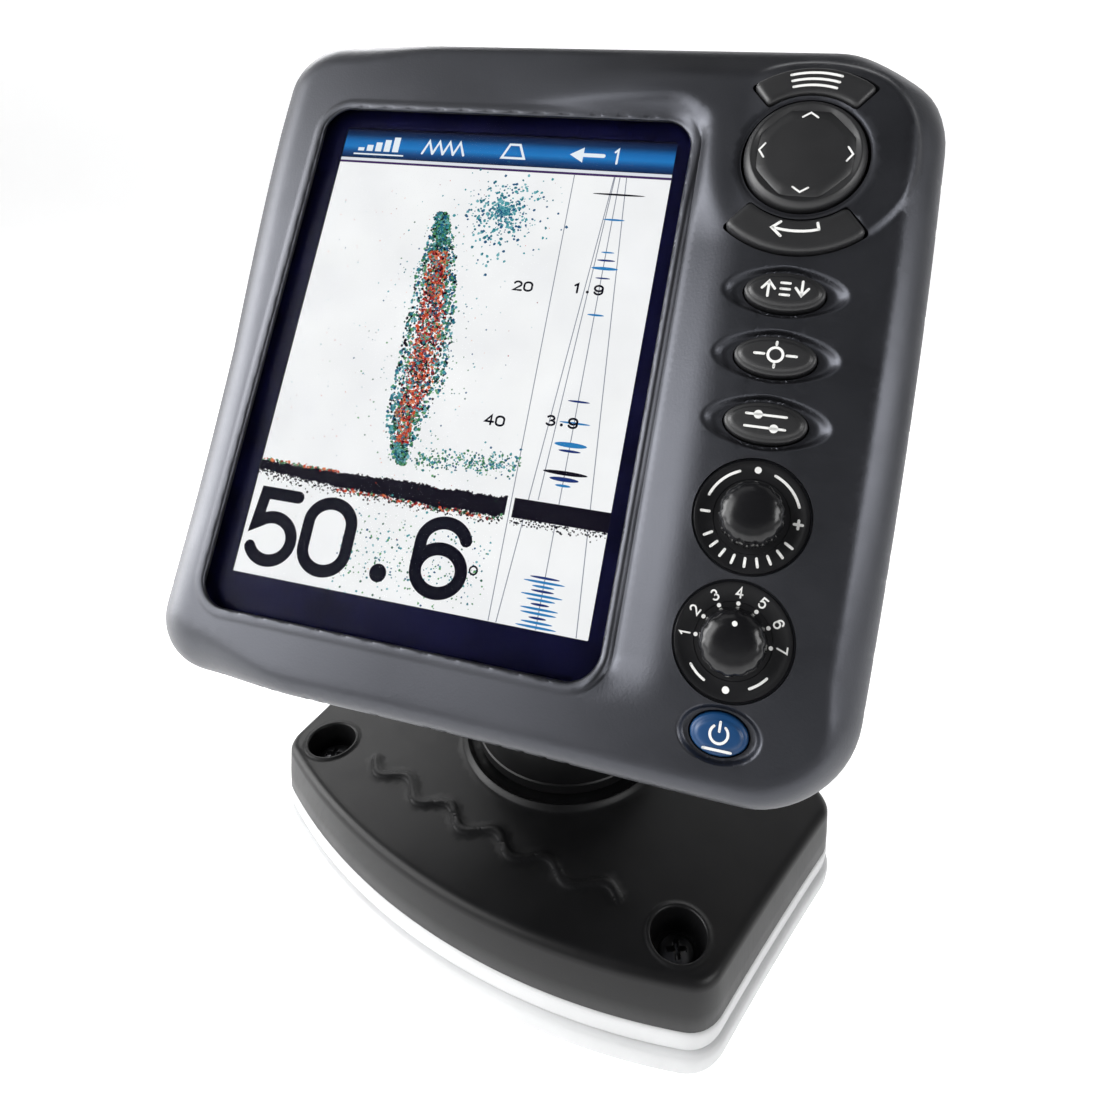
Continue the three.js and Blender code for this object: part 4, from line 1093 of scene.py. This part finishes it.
def ground_post():
    """A hexagon nut and a washer on a stud."""
    form = bevelled(lambda i: oval(0, 0, 4.6 - i, 4.6 - i, 6), -49.5, -45.9, 0.35, 2)
    form.join(lathe([(0, -53.3), (1.6, -53.3), (2, -52.9), (2, -37), (0, -37)], 32))
    form.join(lathe([(2, -46.3), (4.8, -46.3), (5, -46.1), (5, -44.3), (2, -44.3)], 40))
    return form.move(*GROUND)


ground_post().piece("ground_post", BRASS, "display", replaces="ground_terminal", sharp=30)


# ---- tilt joint
def tilt_circle(r, n):
    """A round outline on the tilt axis, drawn as (y, z)."""
    return lambda inset: oval(PIVOT.y, PIVOT.z, r - inset, r - inset, n)


def ear_outline(inset):
    loop = [(PIVOT.y + 22 - inset, -46.6), (PIVOT.y - 22 + inset, -46.6)]
    for i in range(25):
        a = math.pi + 0.3 + (math.pi - 0.6) * i / 24
        loop.append((PIVOT.y + (12 - inset) * math.cos(a), PIVOT.z + (12 - inset) * math.sin(a)))
    return loop


def web(corners, x0, x1):
    """A thin three-cornered stiffener between x0 and x1; its corners go round counter-clockwise."""
    return side_form(lambda inset: corners, x0, x1, 0.01, 1)


def tilt_bracket():
    """A plate with two ears and four gussets."""
    foot = dict(x=PIVOT.x, y=PIVOT.y, w=84, h=52, r=6)
    form = bevelled(lambda i: rounded(foot, i, 3), -47.5, -44.3, 0.9, 3)
    for s in (-1, 1):
        form.join(side_form(ear_outline, PIVOT.x + s * 22.6, PIVOT.x + s * 28.6, 0.8))
    for s in (-1, 1):
        for k in (-1, 1):
            gusset = [(PIVOT.y + k * 20, -46.5), (PIVOT.y + k * 9, -46.5), (PIVOT.y + k * 9, -54)][::k]
            form.join(web(gusset, PIVOT.x + s * 28.4, PIVOT.x + s * 31.5))
    return form


def knob_outline(inset):
    """Six lobes round the tilt axis."""
    loop = []
    for i in range(120):
        a = TAU * i / 120
        r = 11.4 - 2.1 * (0.5 + 0.5 * math.cos(6 * a)) ** 2 - inset
        loop.append((PIVOT.y + r * math.cos(a), PIVOT.z + r * math.sin(a)))
    return loop


def clamp_knob(s):
    """The knob at the left (s -1) or right (s 1) end of the tilt bolt: grip, collar and end disc."""
    form = side_form(knob_outline, PIVOT.x + s * 33, PIVOT.x + s * 44, 1.6, 5)
    form.join(side_form(tilt_circle(8, 48), PIVOT.x + s * 28.9, PIVOT.x + s * 34, 0.5))
    return form.join(side_form(tilt_circle(5.5, 40), PIVOT.x + s * 43.5, PIVOT.x + s * 44.4, 0.3))


tilt_bracket().piece("bracket_body", BLACK, "display", replaces="tilt_bracket")
for name, s in (("left", -1), ("right", 1)):
    clamp_knob(s).piece("clamp_knob_" + name, BLACK, "tilt_knob_" + name[0], replaces="tilt_knob_" + name)

# ---- stand
TURRET_FOOT, TURRET_TOP = DECK + 1.6, DECK + 19.6
NECK_HALF = 20


def neck_outline(inset):
    right = [(13, TURRET_TOP - 2), (11.2, TURRET_TOP + 5), (10, PIVOT_Z - 20), (9, PIVOT_Z)]
    left = [(-y, z) for y, z in right]
    loop = [left[0], *right, *reversed(left[1:])]
    return [(y - math.copysign(inset, y), z) for y, z in loop]


def turret():
    """A drum with a neck, six webs at its foot and a knuckle on the tilt axis."""
    z0, z1 = TURRET_FOOT, TURRET_TOP
    profile = [(11, z0 + 1), (26, z0 + 1), (26.3, z0), (29.4, z0), (29.8, z0 + 0.5), (29.8, z0 + 3.4)]
    profile += [(29.4, z0 + 3.8), (29.4, z0 + 4.5), (29.8, z0 + 4.9), (29.8, z1 - 2.8), (29.5, z1 - 1.6)]
    profile += [(28.7, z1 - 0.6), (27.3, z1), (20, z1 + 0.2), (0, z1 + 0.2)]
    form = lathe(profile, 128)
    form.join(side_form(neck_outline, -NECK_HALF, NECK_HALF, 1.5, 4))
    for x in (-14, 0, 14):
        for s in (-1, 1):
            corners = [(s * 9.5, z1), (s * 16.5, z1), (s * 9.5, z1 + 20)][::s]
            form.join(web(corners, x - 1.3, x + 1.3))
    return form.join(side_form(lambda i: oval(0, PIVOT_Z, 12 - i, 12 - i, 72), -NECK_HALF, NECK_HALF, 0.9, 4))


turret().piece("turret_body", BLACK, "stand_arm", place=SWIVEL, replaces="turret")
FRONT_CORNER, SIDE_SWELL, BACK_CORNER = (74, -53), (79.3, -19), (86.6, 15)
FRONT_BOW, BACK_BOW = -67.5, 48  # y of the middle of the front and of the back


def plan(grow=0.0):
    """The stand's plan: a bowed front, sides that spread to the back, a bowed back, and eased corners."""
    def bowed(corner, middle, n, sign):
        x, y = corner
        rise = abs(middle - y)
        r = (x * x + rise * rise) / (2 * rise)
        half = math.asin(x / r) * (1 - 5 / x)
        angles = [sign * (-half + 2 * half * i / n) for i in range(n + 1)]
        return [(r * math.sin(a), middle + sign * (r - r * math.cos(a))) for a in angles]

    def eased(p, corner, s):
        return bend(p, corner, s, [i / 9 for i in range(1, 9)])

    def mirrored(point):
        return (-point[0], point[1])

    front = bowed(FRONT_CORNER, FRONT_BOW, 60, 1)
    back = bowed(BACK_CORNER, BACK_BOW, 70, -1)
    right = bend(FRONT_CORNER, SIDE_SWELL, BACK_CORNER, [0.08 + 0.85 * k / 30 for k in range(31)])
    left = [mirrored(p) for p in reversed(right)]
    loop = front + eased(front[-1], FRONT_CORNER, right[0])
    loop += right + eased(right[-1], BACK_CORNER, back[0]) + back
    loop += eased(back[-1], mirrored(BACK_CORNER), left[0]) + left
    loop += eased(left[-1], mirrored(FRONT_CORNER), front[0])
    return offset(loop, grow) if grow else loop


WELL_R = 7.1


def wave_line(x):
    """The raised wave along the front of the cover."""
    return -47.5 + 0.0016 * x * x + 2.3 * np.sin(x * TAU / 17.5)


def cover_height(x, y):
    """The deck with a ring round the turret, the wave, and a collar round each screw well."""
    z = DECK + 1.5 * ramp(1 - np.abs(np.hypot(x, y) - 33.5) / 1.7)
    z = z + 0.55 * ramp((1.7 - np.abs(y - wave_line(x))) / 0.9) * ramp((46 - np.abs(x)) / 2)
    for wx, wy in COVER_SCREWS.values():
        d = np.hypot(x - wx, y - wy)
        z = z + 0.5 * ramp((8.9 - d) / 1.2) - 1.4 * hole_edge((d - WELL_R) * 0.6)
    return z


def cover():
    wells = COVER_SCREWS.values()
    outer = plan(-2.4)
    holes = [oval(x, y, WELL_R, WELL_R, 64) for x, y in wells]
    loose = [oval(0, 0, r, r, 170) for r in (31.6, 32.3, 33, 33.5, 34, 34.7, 35.4)]
    loose += [oval(x, y, r, r, 64) for x, y in wells for r in (7.3, 7.6, 8.0, 8.4, 8.9, 9.4)]
    loose += [plan(-o) for o in (3.2, 4.2)]
    for s in (-2.0, -1.3, -0.8, 0, 0.8, 1.3, 2.0):
        loose.append([(x, float(wave_line(x)) + s) for x in np.arange(-48, 48.1, 0.9)])
    form = plate(outer, holes, cover_height, loose, max(STEP * 1.3, 1.6))
    # The side: a lip at the foot, a slight draft, and a rounded shoulder.
    rings = [at_height(plan(grow), z) for grow, z in ((1.8, 14.0), (1.95, 14.4), (1.35, 20))]
    for degrees in (0, 20, 40, 60, 75):
        c, s = math.cos(math.radians(degrees)), math.sin(math.radians(degrees))
        rings.append(at_height(plan(0.4 - 2.8 * (1 - c)), DECK - 2.9 + 2.9 * s))
    form.rings([*rings, at_height(outer, cover_height)])
    for (x, y), hole in zip(wells, holes):
        pit, floor = (oval(x, y, WELL_R * k, WELL_R * k, 64) for k in (0.38, 0.93))
        rings = [at_height(pit, DECK - 9), at_height(floor, DECK - 8.6), at_height(hole, cover_height)]
        form.rings(rings, flip=True)
    return form


cover().piece("stand_cover", BLACK, "base", place=WORLD, replaces="base_cover")


def slab(name, low, high, grow, node):
    """One layer of the white stack, with rounded edges."""
    foot = [(-1.0, low), (-0.45, low + 0.3), (-0.1, low + 0.9), (0, low + 1.6)]
    top = [(0, high - 1.6), (-0.15, high - 0.8), (-0.5, high - 0.25), (-1.2, high)]
    form = stack(lambda eased: plan(grow + eased), foot + top)
    form.piece(name, WHITE, "base", place=WORLD, replaces=node)


slab("white_pad", 0, 6.6, 4.0, "deck_pad")
slab("white_spacer", 6.9, 13.7, 2.4, "deck_spacer")
for label, (sx, sy) in COVER_SCREWS.items():
    screw("deck_screw_" + label, "base_screw_" + label, sx, sy, DECK_SCREW, WORLD, "base", 1)

# ---- pieces kept from the solid model
KEPT = {
    STEEL: [
        "wave_washer", "spindle_bolt", "tilt_bolt", "lcd_frame", "gain_encoder", "mode_switch", "gain_shaft",
        "mode_shaft",
    ],
    ACETAL: ["swivel_bush", "swivel_washer", "backlight_unit", "dpad_gimbal"],
    RUBBER: ["tilt_washer_left", "tilt_washer_right", "window_gasket", "keypad_mat"],
    BRASS: ["turret_insert"],
    BOARD: ["main_board", "sonar_board", "key_board"],
    GLOSS: ["lcd_panel"],
}
for material, names in KEPT.items():
    for node_name in names:
        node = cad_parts[node_name]
        if not node.material_slots:
            node.data.materials.append(material)
        for material_slot in node.material_slots:
            material_slot.link = "OBJECT"
            material_slot.material = material

# ---- camera
# Placed so that the screen, the dials, the screw wells and the stand lie as in the reference view.
forward = Vector((-0.42281, 0.81274, -0.40086)).normalized()
upward = Vector((-0.23199, 0.33053, 0.91484))
upward = (upward - forward * upward.dot(forward)).normalized()
camera = bpy.data.cameras.new("camera")
camera.sensor_width, camera.lens = 36, 22.909
camera.shift_x, camera.shift_y = -0.0626, -0.0706
camera.clip_start, camera.clip_end = 0.01, 20
eye = added("camera", camera)
pose = Matrix((forward.cross(upward), upward, -forward)).transposed().to_4x4()
pose.translation = (0.096493, -0.157614, 0.206421)
eye.matrix_world = pose
bpy.context.scene.camera = eye

# ---- backdrop, metres
LOOK = Vector((-0.42281, 0.81274, 0)).normalized()
ACROSS = Vector((LOOK.y, -LOOK.x, 0))
SWEEP_HALF, SWEEP_LIFT = 6, -0.0006


def backdrop(name, points, faces, glow):
    """A pale, faintly glowing sheet of the studio."""
    paint = surface(
        name + "_paint", (0.86, 0.86, 0.86), 0.6, grain=3, bump=0.05, relief=0.02, blotch=0.01,
        Specular_IOR_Level=0.1, Emission_Color=(1, 1, 1, 1), Emission_Strength=glow,
    )
    mesh = bpy.data.meshes.new(name)
    mesh.from_pydata(points, [], faces)
    mesh.polygons.foreach_set("use_smooth", [True] * len(faces))
    mesh.materials.append(paint)
    added(name, mesh)


def studio_sweep():
    """A floor that curves up into a wall behind the object: rows are (distance along the view, height)."""
    curve = [math.radians(d) for d in range(10, 91, 10)]
    rows = [(-6, 0), (-1, 0), (0, 0), (0.8, 0), (1.1, 0)]
    rows += [(1.1 + 0.6 * math.sin(a), 0.6 - 0.6 * math.cos(a)) for a in curve] + [(1.7, 2)]
    points = []
    for t, z in rows:
        for s in (-SWEEP_HALF, SWEEP_HALF):
            p = LOOK * t + ACROSS * s
            points.append((p.x, p.y, z + SWEEP_LIFT))
    faces = [(2 * i, 2 * i + 1, 2 * i + 3, 2 * i + 2) for i in range(len(rows) - 1)]
    backdrop("studio_sweep", points, faces, 0.62)


studio_sweep()
# A wider floor with a wall all round it, for the other views.
arena = lathe([(0, -0.0012), (1.5, -0.0012), (4, -0.0012), (5, 0.1), (5.6, 0.5), (6, 1.2), (6.2, 3)], 48)
backdrop("studio_round", arena.v, arena.f, 0.16)

# ---- lights
AXES = PANEL.to_3x3()
CENTRE = PANEL @ Vector((HOUSE_X * MM, 0, 0.0067))


def softbox(name, direction, distance, width, height, radiance):
    """A rectangular lamp that faces the display's centre."""
    data = bpy.data.lights.new(name, "AREA")
    data.shape = "RECTANGLE"
    data.size, data.size_y = width, height
    data.energy = radiance * width * height * math.pi
    o = added(name, data)
    d = Vector(direction).normalized()
    o.location = CENTRE + d * distance
    o.rotation_mode = "QUATERNION"
    o.rotation_quaternion = d.to_track_quat("Z", "Y")


softbox("key_light", AXES @ Vector((-0.78, 0.07, 0.62)), 0.75, 0.66, 0.68, 4.2)
softbox("front_light", AXES @ Vector((-0.50, 0.0, 0.86)), 0.85, 0.34, 0.6, 0.5)
softbox("side_light", AXES @ Vector((-165, 5, 30)), 0.8, 0.35, 0.9, 5.0)
softbox("top_light", (0.5, 0.75, 1.0), 1.2, 1.0, 0.8, 0.3)
softbox("ceiling_light", (-0.25, -0.15, 0.95), 0.9, 0.5, 0.5, 0.55)
softbox("right_light", (0.86, -0.1, 0.42), 1.1, 0.6, 0.5, 5.0)
softbox("rear_light", (-0.74, 0.40, 0.54), 0.9, 0.36, 0.3, 5.0)

world = bpy.data.worlds.new("studio")
world.use_nodes = True
tune(world.node_tree.nodes["Background"], Color=(0.95, 0.97, 1.0, 1), Strength=0.05)
bpy.context.scene.world = world
bpy.context.scene.view_settings.view_transform = "Standard"
